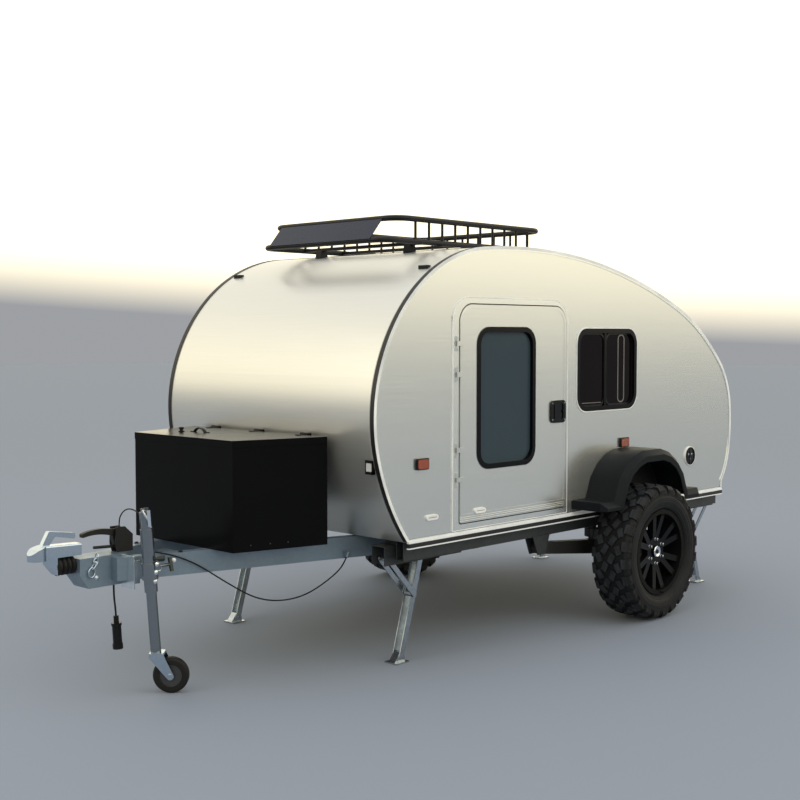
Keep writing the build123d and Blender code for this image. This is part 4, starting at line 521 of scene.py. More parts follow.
def wheel_paint():
    """Black lacquer on the spokes; rougher toward the rim's edge, where painted shade also darkens it."""
    made = Shader("wheel_paint", (0.0036, 0.0040, 0.0048), 0.26)
    outer = made.spread(made.radius(AXLE.x, AXLE.z), 0.0, 1.0, 0.196, 0.214)
    made.gloss(made.math("ADD", made.math("MULTIPLY", outer, 0.34), 0.26))
    # Darker colour toward the rim's edge is painted shade on the spokes' outer ends.
    made.paint(made.mix(outer, (0.0042, 0.0046, 0.0054), (0.0024, 0.0028, 0.0034)))
    made.bump(made.noise(300.0, 2.0), 0.0003, 0.05)
    made.set(Specular_IOR_Level=0.14)
    return made.mat


def plywood(name, colour):
    """Lacquered plywood, its grain along y."""
    made = Shader(name, colour, 0.42)
    warp = made.noise(1.0, 5.0, (16.0, 1.1, 16.0), 0.6)
    rings = made.waves("X", 5.0, 7.0, 3.0, (1.0, 0.12, 1.0))
    years = made.spread(rings, 0.0, 0.8, 0.1, 0.9)
    grain = made.mix(years, shade(colour, 1.12), shade(colour, 0.72))
    made.paint(made.mix(made.spread(warp, 0.0, 0.5), grain, shade(colour, 0.85)))
    made.bump(made.noise(1.0, 3.0, (300.0, 14.0, 300.0)), 0.0004, 0.15)
    made.set(Coat_Weight=0.25)
    return made.mat


def tinted(name, colour, roughness=0.06, through=0.35, shine=0.3):
    """Tinted acrylic that lets some light through."""
    made = Shader(name, colour, roughness)
    made.set(Transmission_Weight=through, IOR=1.49, Specular_IOR_Level=shine)
    made.gloss(made.spread(made.noise(3.0, 3.0), roughness * 0.7, roughness * 1.6))
    made.bump(made.noise(5.0, 1.0), 0.002, 0.03)
    return made.mat


def lens(name, colour, stripes=150.0):
    """A moulded lamp lens with fine vertical flutes, painted lighter on their ridges and darker in their
    hollows.
    """
    made = Shader(name, colour, 0.18)
    made.set(Transmission_Weight=0.35, Coat_Weight=0.8)
    flutes = made.waves("X", stripes)
    ridges = made.spread(flutes, 0.0, 1.0, 0.0, 1.0)
    # Colour follows the flutes: painted highlight on the ridges, painted shade in the hollows.
    made.paint(made.mix(ridges, shade(colour, 0.8), shade(colour, 1.2)))
    made.bump(flutes, 0.001, 0.4)
    return made.mat


def woven(name, colour, count=520.0):
    """Cloth: crossed threads with a slightly cloudy dye, and painted shade in the gaps between them."""
    made = Shader(name, colour, 0.9)
    weave = made.math("MAXIMUM", made.waves("X", count, 0.6), made.waves("Y", count, 0.6))
    cloud = made.mix(made.spread(made.noise(4.0, 4.0), 0.0, 1.0), shade(colour, 0.9), shade(colour, 1.1))
    # The gaps between the threads are darker: painted shade.
    made.paint(made.mix(made.spread(weave, 0.0, 1.0, 0.0, 1.0), shade(colour, 0.8), cloud))
    made.bump(weave, 0.0006, 0.5)
    made.set(Sheen_Weight=0.3)
    return made.mat


def banded(name, low, high, band, rest):
    """Two colours along a rail: band between the heights low and high, rest elsewhere."""
    made = Shader(name, rest, 0.35)
    z = made.xyz()[2]
    inside = made.math("MULTIPLY", made.math("GREATER_THAN", z, low), made.math("LESS_THAN", z, high))
    made.paint(made.mix(inside, rest, band))
    made.gloss(made.spread(made.noise(14.0, 3.0), 0.28, 0.45))
    made.bump(made.noise(200.0, 2.0), 0.0004, 0.05)
    return made.mat


BLACK = (0.0065, 0.0068, 0.0075)
WHITE = (0.78, 0.82, 0.86)
mat_wall = brushed("wall_panel", (0.775, 0.80, 0.785), "x", 0.235, 0.88)
mat_skin = brushed("front_panel", (0.69, 0.70, 0.68), "y", 0.35, 0.84)
mat_door = brushed("door_panel", (0.78, 0.805, 0.79), "x", 0.24, 0.86)
mat_frame = brushed("frame_metal", (0.81, 0.84, 0.83), "z", 0.25, 0.86)
mat_edge = painted("edge_paint", (0.44, 0.45, 0.43), 0.42, 0.3)
mat_white = moulded("white_trim", WHITE, 0.32, 120.0, 0.05)
mat_lining = painted("wall_lining", (0.60, 0.585, 0.54), 0.5, 0.0, 0.0, 0.05)
# Dark grey for the catches' slots: painted shade in the slits.
mat_slot_shade = moulded("slot_shade", (0.15, 0.155, 0.15), 0.6, 200.0, 0.1)
mat_black_trim = moulded("black_trim", BLACK, 0.42, 200.0, 0.15, 0.4)
mat_black = moulded("black_plastic", (0.0065, 0.007, 0.008), 0.33, 320.0, 0.15, 0.22)
mat_gloss = moulded("black_gloss", (0.004, 0.0042, 0.005), 0.14, 320.0, 0.02, 0.3)
mat_sill = banded("sill_stripes", 0.6035, 0.6245, (0.006, 0.0062, 0.007), WHITE)
mat_screen = moulded("screen_frame", (0.13, 0.115, 0.12), 0.35, 120.0, 0.05)
mat_ply = plywood("birch_ply", (0.60, 0.44, 0.27))
mat_glass = tinted("tinted_glass", (0.040, 0.062, 0.080), 0.16, 0.06, 0.16)
mat_side_glass = tinted("side_glass", (0.0060, 0.0036, 0.0040), 0.05, 0.2, 0.05)
mat_amber = lens("amber_lens", (0.42, 0.058, 0.014))
mat_red = lens("red_lens", (0.34, 0.008, 0.008))
mat_clear = lens("clear_lens", (0.74, 0.76, 0.78))
mat_cloth = woven("mattress_cloth", (0.40, 0.41, 0.44))
mat_plate = painted("blank_plate", (0.62, 0.63, 0.62), 0.35)
mat_zinc = zinc("zinc_plate", (0.52, 0.61, 0.70), 0.20, 1.0, 120.0, 0.04, 0.9)
mat_post = zinc("post_zinc", (0.25, 0.28, 0.31), 0.20, 0.92, 120.0, 0.03, 0.96)
mat_leg = zinc("leg_zinc", (0.45, 0.50, 0.55), 0.22, 0.97, 60.0, 0.10, 0.8)
mat_galv = zinc("hot_dip", (0.195, 0.26, 0.33), 0.42, 0.5, 70.0, 0.04, 0.94)
mat_rail = zinc("rail_steel", (0.042, 0.048, 0.054), 0.45, 0.4, 60.0, 0.08)
mat_arm = painted("arm_paint", (0.009, 0.0095, 0.0105), 0.5, 0.0, 0.1, 0.1)
mat_guard = painted("guard_coat", (0.0065, 0.0085, 0.0115), 0.45, 0.0, 0.0, 0.25, 0.25, 0.10)
mat_box = painted("box_paint", (0.0036, 0.0038, 0.0042), 0.24, 0.0, 0.0, 0.01, 0.02, 0.07)
mat_plated = zinc("bright_plate", (0.75, 0.82, 0.88), 0.18, 0.9, 60.0, 0.06, 0.85)
mat_knob = moulded("knob", (0.010, 0.016, 0.013), 0.3, 200.0, 0.1)
mat_rim = moulded("window_rim", (0.0030, 0.0032, 0.0042), 0.20, 320.0, 0.02, 0.16)
mat_hub = moulded("hub_plastic", (0.035, 0.038, 0.042), 0.4, 200.0, 0.1)
# Lid top: a lighter, glossier copy of the box's black paint; its lighter colour is a painted highlight.
mat_lid_top_sheen = painted("lid_top_sheen", (0.0050, 0.0052, 0.0056), 0.22, 0.0, 0.0, 0.01, 0.02, 0.30)
mat_rack = painted("rack_coat", (0.0050, 0.0060, 0.0085), 0.4, 0.0, 0.0, 0.15, 0.0, 0.25)
mat_fairing = painted("fairing_coat", (0.0065, 0.013, 0.036), 0.26, 0.0, 0.0, 0.02, 0.0, 0.22)
mat_rubber = moulded("rubber", (0.008, 0.008, 0.0085), 0.6, 180.0, 0.2, 0.25)
mat_tyre = tyre_rubber()
mat_alloy = wheel_paint()
mat_chrome = zinc("chrome", (0.80, 0.85, 0.92), 0.10, 1.0, 30.0, 0.01, 0.95)
mat_iron = zinc("drum_iron", (0.07, 0.065, 0.062), 0.6, 0.6, 90.0, 0.15)
mat_grip = moulded("black_grip", (0.010, 0.010, 0.0095), 0.5, 300.0, 0.2, 0.4)

DRESS = {
    "cabin_floor": mat_ply, "front_skin": mat_skin, "roof_skin": mat_skin,
    "rear_panel": mat_skin, "hatch": mat_skin,
    "edge_trims": mat_black_trim, "beads_and_sills": mat_sill,
    "side_windows": mat_rim, "side_glass": mat_side_glass,
    "lamps": mat_amber, "wall_fittings": mat_white,
    "mattress": mat_cloth, "galley": mat_ply,
    "chassis_frame": mat_rail, "rear_beam": mat_rail, "stabiliser_rails": mat_rail,
    "drawbar": mat_galv, "overrun_box": mat_galv,
    "coupling_head": mat_zinc, "coupling_gaiter": mat_rubber,
    "handbrake": mat_grip, "tongue_box": mat_box, "tongue_box_lid": mat_box,
    "jockey_post": mat_post, "jockey_stem": mat_post, "jockey_fork": mat_zinc,
    "jockey_wheel": mat_rubber,
    "trailing_arms": mat_arm, "mudguards": mat_guard,
    "roof_rack": mat_rack, "rack_fairing": mat_fairing,
    "plug_cable": mat_rubber, "plug": mat_black,
    "breakaway_cable": mat_rubber, "beam_cable": mat_rubber,
}
PAIRED = {
    "side_wall": mat_wall, "door_frame": mat_frame, "door": mat_door,
    "door_fittings": mat_black, "door_glass": mat_glass,
    "tyre": mat_tyre, "rim": mat_alloy, "brake_drum": mat_iron,
    "stay_front": mat_leg, "leg_front": mat_leg, "stay_rear": mat_leg, "leg_rear": mat_leg,
}
for name, sign in SIDES:
    for part, material in PAIRED.items():
        DRESS[f"{part}_{name}"] = material
for name, material in DRESS.items():
    cad = nodes_of[name]
    cad.data.materials.clear()
    cad.data.materials.append(material)

# Cords, along the same points as in the part's source
plug_route = (
    (TOE + 1.150, 0.030, 0.492),
    (TOE + 1.150, 0.030, 0.452),
    (TOE + 1.148, 0.031, 0.412),
    (TOE + 1.144, 0.033, 0.375),
    (TOE + 1.142, 0.033, 0.342),
)
breakaway_route = (
    (TOE + 1.112, 0.022, 0.749),
    (TOE + 1.112, 0.022, 0.780),
    (TOE + 1.113, 0.038, 0.806),
    (TOE + 1.114, 0.066, 0.829),
    (TOE + 1.113, 0.100, 0.841),
    (TOE + 1.110, 0.134, 0.840),
    (TOE + 1.106, 0.163, 0.830),
    (TOE + 1.104, 0.186, 0.818),
)
beam_route = (
    (TOE + 1.022, 0.138, 0.637),
    (TOE + 0.985, 0.174, 0.629),
    (TOE + 0.930, 0.192, 0.613),
    (TOE + 0.859, 0.211, 0.582),
    (TOE + 0.790, 0.231, 0.541),
    (TOE + 0.720, 0.250, 0.490),
    (TOE + 0.655, 0.268, 0.445),
    (TOE + 0.590, 0.287, 0.402),
    (TOE + 0.530, 0.304, 0.370),
    (TOE + 0.465, 0.321, 0.350),
    (TOE + 0.400, 0.339, 0.342),
    (TOE + 0.335, 0.357, 0.345),
    (TOE + 0.272, 0.375, 0.359),
    (TOE + 0.212, 0.392, 0.385),
    (TOE + 0.158, 0.408, 0.417),
    (TOE + 0.110, 0.422, 0.450),
    (TOE + 0.074, 0.432, 0.486),
    (TOE + 0.056, 0.437, 0.524),
)
CORD_STEPS = {"steps": 8, "round_steps": 5}
plug_line = rod("plug_cord", plug_route, 0.0045, mat_rubber, **CORD_STEPS)
breakaway_line = rod("breakaway_cord", breakaway_route, 0.003, mat_rubber, **CORD_STEPS)
beam_line = rod("beam_cord", beam_route, 0.0035, mat_rubber, **CORD_STEPS)
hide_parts("plug_cable")
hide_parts("breakaway_cable")
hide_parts("beam_cable")

# Colours of single faces
BODY_MIDDLE = Vector((-0.65, 0.0, 1.30))
INLET = Vector((TOE - 2.584, HALF, 0.875))
INLET_FLAP_R = 0.0505
HUB_REACH = 0.058  # the jockey wheel's plastic hub ends this far from its middle


def outward(centre, normal):
    """True on a face of the shell that looks out of the body."""
    return normal.dot(centre - BODY_MIDDLE) > 0


def inner_face(centre, normal):
    """True on the side of a wall or a leaf toward the cabin."""
    return abs(centre.y) < INNER + 0.001 and abs(normal.y) > 0.9


def narrow_face(centre, normal):
    """True on the narrow faces round a wall or a leaf."""
    return abs(normal.y) < 0.5


for shell in ("front_skin", "roof_skin", "rear_panel", "hatch"):
    tint(shell, (mat_lining, lambda c, n: not outward(c, n)))
for name, sign in SIDES:
    for panel in ("side_wall_", "door_"):
        tint(panel + name, (mat_lining, inner_face), (mat_edge, narrow_face))
    tint("door_fittings_" + name,
         (mat_rim, lambda c, n: c.x > -0.33 and c.z > 0.94),
         (mat_white, lambda c, n: c.z < 0.78),
         (mat_gloss, lambda c, n: c.x < -0.33))
tint("edge_trims", (mat_white, lambda c, n: abs(n.y) > 0.9 and abs(c.y) > HALF + 0.002))
tint("beads_and_sills",
     (mat_frame, lambda c, n: c.z > 0.6365 or HALF + 0.002 < abs(c.y) < HALF + 0.0035))
tint("lamps",
     (mat_red, lambda c, n: c.x < -2.2),
     (mat_clear, lambda c, n: c.x > 0.9))
tint("wall_fittings",
     (mat_black, lambda c, n: c.z > 1.9),
     (mat_black, lambda c, n: c.x < -1.7 and math.hypot(c.x - INLET.x, c.z - INLET.z) < INLET_FLAP_R))
tint("jockey_post",
     (mat_knob, lambda c, n: c.y > 0.216 and 0.555 < c.z < 0.625 and c.x < 1.795),
     (mat_chrome, lambda c, n: c.z > 0.775 and c.y > 0.2555))
hub_points = [v.co for v in nodes_of["jockey_wheel"].data.vertices]
jockey_hub = sum(hub_points, Vector()) / len(hub_points)
tint("jockey_wheel", (mat_hub, lambda c, n: (c - jockey_hub).length < HUB_REACH))

# Pieces that stand for a node with softer edges
stand_in("mudguard_shells", "mudguards", "root", mat_guard, 33.0, 0.003)
stand_in("box_shell", "tongue_box", "root", mat_box, 30.0, 0.0015)
# The lid's top faces take the lighter copy, a painted highlight; its upright faces take the box's black.
stand_in("box_lid_shell", "tongue_box_lid", "box_lid", mat_lid_top_sheen, 30.0, 0.0015, mat_box)
for name, sign in SIDES:
    stand_in("wheel_disc_" + name, "rim_" + name, "wheel_" + name, mat_alloy, 32.0, 0.0018)
stand_in("coupling_casting", "coupling_head", "root", mat_zinc, 32.0, 0.0012)
stand_in("brake_lever", "handbrake", "root", mat_grip, 32.0, 0.0015)

# Wheels: nuts, centre cap, raised rings and ribs on the tyre's flank, valve
NUT_COUNT = 6
NUT_CIRCLE = 0.0698  # radius of the circle through the nuts
CAP_SEAT = 0.0755  # out from the wheel's middle
CAP_RISE = 0.0056
CAP = ((0.0315, -0.004), (0.0325, 0.0), (0.0325, 0.004), (0.029, 0.0075), (0.024, 0.0068),
       (0.021, 0.0052), (0.0, CAP_RISE))
CAP_CENTRE = ((0.0125, -0.001), (0.0125, 0.0009), (0.0, 0.0012))
# Columns: radius, height, half the width
FLANK_RINGS = (
    (0.2585, 0.0016, 0.0030),
    (0.268, 0.0012, 0.0016),
    (0.331, 0.0018, 0.0034),
    (0.338, 0.0010, 0.0014),
)
RING_SINK = 0.002
RIB_COUNT = 48
RIB_LEAD = 2.0  # degrees from the x axis to the first rib
RIB_PROBE = 0.349  # radius at which a rib's seat is felt
RIB_FOOT = 0.343  # radius at a rib's inner end
RIB_SINK = 0.0015
RIB_HALF = 0.0045
RIB_LONG = 0.013
RIB_THICK = 0.0035
VALVE_R = 0.232  # from the axle
VALVE = ((0.0045, -0.004), (0.0040, 0.010), (0.0045, 0.011), (0.0045, 0.020), (0.003, 0.023))


def flank_rings(tyre, middle, out):
    """Thin rings that stand on the tyre's flank."""
    work = bmesh.new()
    for radius, tall, wide in FLANK_RINGS:
        seat = touch(tyre, middle + Vector((radius, 0.0, 0.0)) + out * AFAR, -out)[0]
        lift = abs(seat.y) - AXLE.y
        foot = lift - RING_SINK
        top = lift + tall
        lathe(work, middle, out, (
            (radius - wide, foot), (radius - wide * 0.5, top), (radius + wide * 0.5, top),
            (radius + wide, foot), (radius - wide, foot)), 96)
    bmesh.ops.remove_doubles(work, verts=work.verts[:], dist=1e-6)
    open_ends(work)
    return work


def flank_ribs(tyre, middle, out, sign):
    """Short ribs near the tyre's shoulder."""
    work = bmesh.new()
    for n in range(RIB_COUNT):
        turn = math.radians(360.0 / RIB_COUNT * n + RIB_LEAD)
        along = Vector((math.cos(turn), 0.0, math.sin(turn)))
        seat = touch(tyre, middle + along * RIB_PROBE + out * AFAR, -out)[0]
        base = middle + along * RIB_FOOT + out * (abs(seat.y) - AXLE.y - RIB_SINK)
        across = along.cross(out) * RIB_HALF * sign
        tip = along * RIB_LONG
        slab(work, (base - across, base + across, base + across + tip, base - across + tip), RIB_THICK)
    return work


for name, sign in SIDES:
    body = "wheel_" + name
    tyre = "tyre_" + name
    rim = "rim_" + name
    out = Vector((0.0, sign, 0.0))
    middle = Vector((AXLE.x, sign * AXLE.y, AXLE.z))
    nuts = []
    for n in range(NUT_COUNT):
        turn = math.radians(360.0 / NUT_COUNT * n + 30.0)
        around = Vector((math.cos(turn), 0.0, math.sin(turn))) * NUT_CIRCLE
        nuts.append((touch(rim, middle + around + out * AFAR, -out)[0], out))
    bolts("wheel_nuts_" + name, nuts, 0.0085, mat_leg, body, 6, 1.2, 1.6)
    cap = middle + out * CAP_SEAT
    turned("centre_cap_" + name, cap, out, CAP, 40, mat_chrome, body, 30.0)
    turned("cap_centre_" + name, cap + out * CAP_RISE, out, CAP_CENTRE, 24, mat_gloss, body, 30.0)
    finish_mesh("flank_rings_" + name, flank_rings(tyre, middle, out), mat_tyre, body, 30.0)
    finish_mesh("flank_ribs_" + name, flank_ribs(tyre, middle, out, sign), mat_tyre, body, 30.0)
    valve = touch(rim, middle + Vector((0.0, 0.0, -VALVE_R)) + out * AFAR, -out)[0]
    turned("valve_" + name, valve, out, VALVE, 16, mat_black, body)

# Dark sheet inside each wheel arch: painted shade under the mudguard
# Columns: distance from the axle along x, height
ARCH = ((0.366, 0.664), (0.366, 0.705), (0.318, 0.822), (0.258, 0.892), (0.182, 0.938), (0.094, 0.966))
for name, sign in SIDES:
    outline = [(AXLE.x + along, high) for along, high in ARCH]
    outline += [(AXLE.x - along, high) for along, high in reversed(ARCH)]
    work = bmesh.new()
    corners = [(x, sign * (HALF + 0.0004), z) for x, z in outline]
    if sign > 0:
        corners.reverse()
    slab(work, corners, 0.0018)
    # A dark sheet on the side wall where the mudguard shades it: painted shade.
    finish_mesh("arch_shade_sheet_" + name, work, mat_rubber)

# Doors: stepped border, foot lines, lock, frame line, handle screws, catch slots of painted shade and inner
# lock
LEAF_X0, LEAF_X1 = -0.4962, 0.4062
LEAF_Z0, LEAF_Z1 = 0.685, 1.790
STEP_IN = 0.016
FOOT_LINES = (0.6935, 0.7035, 0.7125)  # heights
LINE_IN = 0.014
LINE_HALF = 0.0022
HANDLE_X, HANDLE_Z = -0.4187, 1.217
LOCK_BEHIND = 0.047
LOCK = ((0.0085, -0.001), (0.0085, 0.002), (0.0075, 0.003), (0.0, 0.003))
HANDLE_SCREWS = ((-0.055, 0.045), (0.055, 0.045), (-0.055, -0.045), (0.055, -0.045))
FRAME_X0, FRAME_Z0, FRAME_Z1 = -0.5172, 0.6480, 1.8270
SLOT_Z0, SLOT_Z1 = 0.7365, 0.7395
SLOT_HALF = 0.030
CATCH_OUT = 0.010  # a catch's outer face, out from what carries it
for name, sign in SIDES:
    body = "door_leaf_" + name
    fittings = "door_fittings_" + name
    out = Vector((0.0, sign, 0.0))
    loop_band("door_step_" + name, LEAF_X0 + STEP_IN, LEAF_X1 - STEP_IN, LEAF_Z0 + 0.040, LEAF_Z1 - STEP_IN,
              0.080, LEAF_Y + 0.0014, sign, 0.004, 0.0030, mat_door, body, 0.010)
    work = bmesh.new()
    y0, y1 = on_side(sign, LEAF_Y - 0.001, LEAF_Y + 0.0022)
    for z in FOOT_LINES:
        box_in(work, (LEAF_X0 + LINE_IN, y0, z - LINE_HALF), (LEAF_X1 - LINE_IN, y1, z + LINE_HALF))
    foot_lines = finish_mesh("door_foot_lines_" + name, work, mat_door, body)
    round_edges(foot_lines, 0.001)
    lock = touch(fittings, (HANDLE_X - LOCK_BEHIND, sign * BESIDE, HANDLE_Z), -out)[0]
    turned("lock_" + name, lock, out, LOCK, 24, mat_gloss, body)
    frame_points = [v.co for v in nodes_of["door_frame_" + name].data.vertices]
    rim_x = max(p.x for p in frame_points if abs(abs(p.y) - HALF - 0.005) < 0.0004 and p.x > 0)
    loop_band("frame_line_" + name, FRAME_X0, rim_x + 0.001, FRAME_Z0, FRAME_Z1,
              0.126, HALF + 0.0056, sign, 0.0042, 0.0058, mat_white, "root", 0.004)
    screws = []
    for dx, dz in HANDLE_SCREWS:
        start = (HANDLE_X + dx, sign * BESIDE, HANDLE_Z + dz)
        screws.append((touch(fittings, start, -out)[0], out))
    bolts("handle_screws_" + name, screws, 0.0032, mat_zinc, body, 16, 0.0, 0.45)
    # Each catch's slot is a thin dark grey strip on its face: painted shade of the slit.
    for part, x, face_y, rides in (("fixed", 0.5968, HALF, "root"), ("door", 0.2408, LEAF_Y, body)):
        seat_y = face_y + CATCH_OUT
        y0, y1 = on_side(sign, seat_y - 0.001, seat_y + 0.0006)
        block(f"catch_slot_shade_{part}_{name}", (x - SLOT_HALF, y0, SLOT_Z0), (x + SLOT_HALF, y1, SLOT_Z1),
              mat_slot_shade, rides, 0.0004)
    y0, y1 = on_side(sign, 0.762, 0.776)
    block("inner_lock_" + name, (-0.462, y0, 1.165), (-0.372, y1, 1.265), mat_black, body, 0.006)

# Side windows: pale outer line, pane frames, a screen frame and its rail inside
# Columns: name, x0, x1, z0, z1, corner radius, out from the wall, width, depth, material
WINDOW_RINGS = (
    ("window_line", -1.2105, -0.6029, 1.1995, 1.6785, 0.090, 0.0040, 0.0060, 0.0040, mat_white),
    ("pane_frame_front", -0.8920, -0.6290, 1.2270, 1.6510, 0.055, -0.0085, 0.012, 0.0045, mat_black),
    ("pane_frame_rear", -1.1845, -0.8990, 1.2270, 1.6510, 0.055, -0.0085, 0.012, 0.0045, mat_black),
    ("screen_frame", -1.0960, -1.0260, 1.2420, 1.6400, 0.030, -0.0105, 0.0085, 0.0030, mat_screen),
)
for name, sign in SIDES:
    for part, x0, x1, z0, z1, radius, lift, width, depth, material in WINDOW_RINGS:
        loop_band(f"{part}_{name}", x0, x1, z0, z1, radius, HALF + lift, sign, width, depth, material)
    y0, y1 = on_side(sign, 0.7940, 0.7960)
    block("pane_rail_" + name, (-0.8830, y0, 1.2470), (-0.6350, y1, 1.2520), mat_screen, "root", 0.0008)
for name, sign in SIDES:
    loop_band("pane_bead_" + name, -0.2050, 0.2476, 0.9592, 1.6638, 0.095, HALF + 0.0010, sign, 0.012, 0.004,
              mat_gloss, "door_leaf_" + name)

# Lamps: dark surrounds on the walls and round the two front markers
LAMPS = (("rear", -1.0762), ("front", 0.6698))
LAMP_HALF = 0.0425
LAMP_Z0, LAMP_Z1 = 0.9785, 1.0355
MARKER_Y = 0.753
MARKER_HALF = 0.0245
MARKER_Z0, MARKER_MIDDLE, MARKER_Z1 = 0.9755, 1.009, 1.0425
MARKER_BAR = 0.0060
MARKER_BAR_TALL = 0.0135
AHEAD = 1.5  # rays toward the front start at this x
for name, sign in SIDES:
    for spot, x in LAMPS:
        loop_band(f"lamp_rim_{spot}_{name}", x - LAMP_HALF, x + LAMP_HALF, LAMP_Z0, LAMP_Z1,
                  0.009, HALF + 0.0135, sign, 0.0065, 0.0134, mat_black)
work = bmesh.new()
for name, sign in SIDES:
    backward = (-1.0, 0.0, 0.0)
    x_top = touch("front_skin", (AHEAD, sign * MARKER_Y, MARKER_Z1), backward)[0].x
    x_low = touch("front_skin", (AHEAD, sign * MARKER_Y, MARKER_Z0), backward)[0].x
    face_x = touch("lamps", (AHEAD, sign * MARKER_Y, MARKER_MIDDLE), backward)[0].x + 0.0012
    back_x = (x_top + x_low) / 2 - 0.004
    y0, y1 = on_side(sign, MARKER_Y - MARKER_HALF, MARKER_Y + MARKER_HALF)
    for low, high in (
        ((y0, MARKER_Z1 - MARKER_BAR_TALL), (y1, MARKER_Z1)),
        ((y0, MARKER_Z0), (y1, MARKER_Z0 + MARKER_BAR_TALL)),
        ((y0, MARKER_Z0), (y0 + MARKER_BAR, MARKER_Z1)),
        ((y1 - MARKER_BAR, MARKER_Z0), (y1, MARKER_Z1)),
    ):
        box_in(work, (back_x, *low), (face_x, *high))
marker_frames = finish_mesh("marker_frames", work, mat_black)
round_edges(marker_frames, 0.0008)

# Inlet: cap, dark ring and pins
LEFTWARD = Vector((0, 1, 0))
INLET_CAP = ((0.049, -0.002), (0.049, 0.0), (0.043, 0.0012), (0.0, 0.0012))
INLET_RIM = ((0.0560, -0.003), (0.0560, 0.0006), (0.0500, 0.0010), (0.0490, -0.003))
INLET_PINS = ((-0.018, 0.010), (0.018, 0.010), (0.0, -0.020))
turned("inlet_cap", INLET + Vector((0, 0.0045, 0)), LEFTWARD, INLET_CAP, 40, mat_gloss, "root", 30.0)
work = bmesh.new()
lathe(work, INLET + Vector((0, 0.0085, 0)), LEFTWARD, INLET_RIM, 48)
open_ends(work)
finish_mesh("inlet_rim", work, mat_gloss, "root", 30.0)
pins = [((INLET.x + dx, INLET.y + 0.0055, INLET.z + dz), LEFTWARD) for dx, dz in INLET_PINS]
bolts("inlet_pins", pins, 0.0042, mat_zinc, "root", 16, 1.4, 0.5)

# Tongue box: rivets, hinge screws and lid latch
BOX_SIDE_NORMAL = (0.2611, 0.9653)  # x and y on the box's slanted left side
RIVET_XS = (1.423, 1.319, 1.223)
RIVET_Z = 0.652
HINGE_YS = (-0.355, 0.0, 0.355)
HINGE_SCREWS = (-0.028, 0.0, 0.028)
HINGE_ROWS = (1.0400, 1.0560)
ABOVE_LID = 1.6
UPWARD = Vector((0, 0, 1))
LATCH_KNOB = ((0.016, -0.001), (0.016, 0.004), (0.009, 0.006), (0.009, 0.012), (0.013, 0.014),
              (0.013, 0.023), (0.0, 0.025))
for name, sign in SIDES:
    out = Vector((BOX_SIDE_NORMAL[0], sign * BOX_SIDE_NORMAL[1], 0.0))
    rivets = []
    for x in RIVET_XS:
        rivets.append((touch("tongue_box", Vector((x, sign * 0.43, RIVET_Z)) + out * 0.4, -out)[0], out))
    bolts("box_rivets_" + name, rivets, 0.0032, mat_hub, "root", 16, 0.0, 0.5)
screws = []
for y in HINGE_YS:
    for dy in HINGE_SCREWS:
        for x in HINGE_ROWS:
            screws.append((touch("tongue_box_lid", (x, y + dy, ABOVE_LID), -UPWARD)[0], UPWARD))
bolts("lid_hinge_screws", screws, 0.0036, mat_black, "box_lid", 16, 0.0, 0.5)
latch = touch("tongue_box_lid", (TOE + 0.560, -0.245, ABOVE_LID), -UPWARD)[0]
turned("lid_latch_knob", latch, UPWARD, LATCH_KNOB, 24, mat_black, "box_lid")

# Drawbar: bolts on its flanges and on the overrun box
FLANGE_BOLTS = ((1.6480, 0.1790), (1.6480, -0.1790))
OVERRUN_XS = (TOE + 1.145, TOE + 1.260)
OVERRUN_ZS = (0.605, 0.535)
flange_spots = [touch("drawbar", (x, y, 1.2), -UPWARD) for x, y in FLANGE_BOLTS]
bolts("drawbar_bolts", flange_spots, 0.009, mat_black_trim, "root", 6, 1.4)
side_spots = []
for sign in (1, -1):
    for x in OVERRUN_XS:
        for z in OVERRUN_ZS:
            out = Vector((0, sign, 0))
            side_spots.append((touch("overrun_box", (x, sign * 0.5, z), -out)[0], out))
bolts("overrun_bolts", side_spots, 0.0085, mat_zinc, "root", 6, 1.4)

# Chain with shackles that hangs from the overrun box's left side
LINK_KNOTS = 12
# Columns: name, x from the toe, y past the chain's line, z, axis, long axis, length, width, wire radius
LINKS = (
    ("chain_link_1", 1.262, 0.000, 0.634, (1.0, 0.2, 0.0), (0.15, 0.05, -1.0), 0.034, 0.020, 0.0028),
    ("chain_link_2", 1.268, 0.001, 0.612, (0.1, 1.0, 0.0), (0.3, 0.0, -1.0), 0.034, 0.022, 0.0028),
    ("chain_link_3", 1.280, 0.001, 0.592, (1.0, 0.2, 0.5), (0.7, 0.1, -0.8), 0.034, 0.020, 0.0028),
    ("chain_shackle", 1.290, 0.002, 0.566, (0.0, 1.0, 0.1), (0.2, 0.0, -1.0), 0.046, 0.034, 0.0036),
)


def link_ring(name, centre, axis, long_axis, length, width, radius):
    """An oval chain link."""
    long_axis = Vector(long_axis).normalized()
    wide = Vector(axis).normalized().cross(long_axis).normalized()
    points = []
    for n in range(LINK_KNOTS):
        turn = 2 * math.pi * n / LINK_KNOTS
        reach = long_axis * math.cos(turn) * length / 2
        points.append(tuple(Vector(centre) + reach + wide * math.sin(turn) * width / 2))
    rod(name, points, radius, mat_zinc, closed=True)


lug_y = touch("overrun_box", (TOE + 1.262, 0.5, 0.622), -LEFTWARD)[0].y
chain_y = lug_y + 0.007
block("shackle_lug", (TOE + 1.246, lug_y - 0.001, 0.618), (TOE + 1.278, lug_y + 0.004, 0.634),
      mat_zinc, "root", 0.002)
for name, x, y, z, axis, long_axis, length, width, radius in LINKS:
    link_ring(name, (TOE + x, chain_y + y, z), axis, long_axis, length, width, radius)

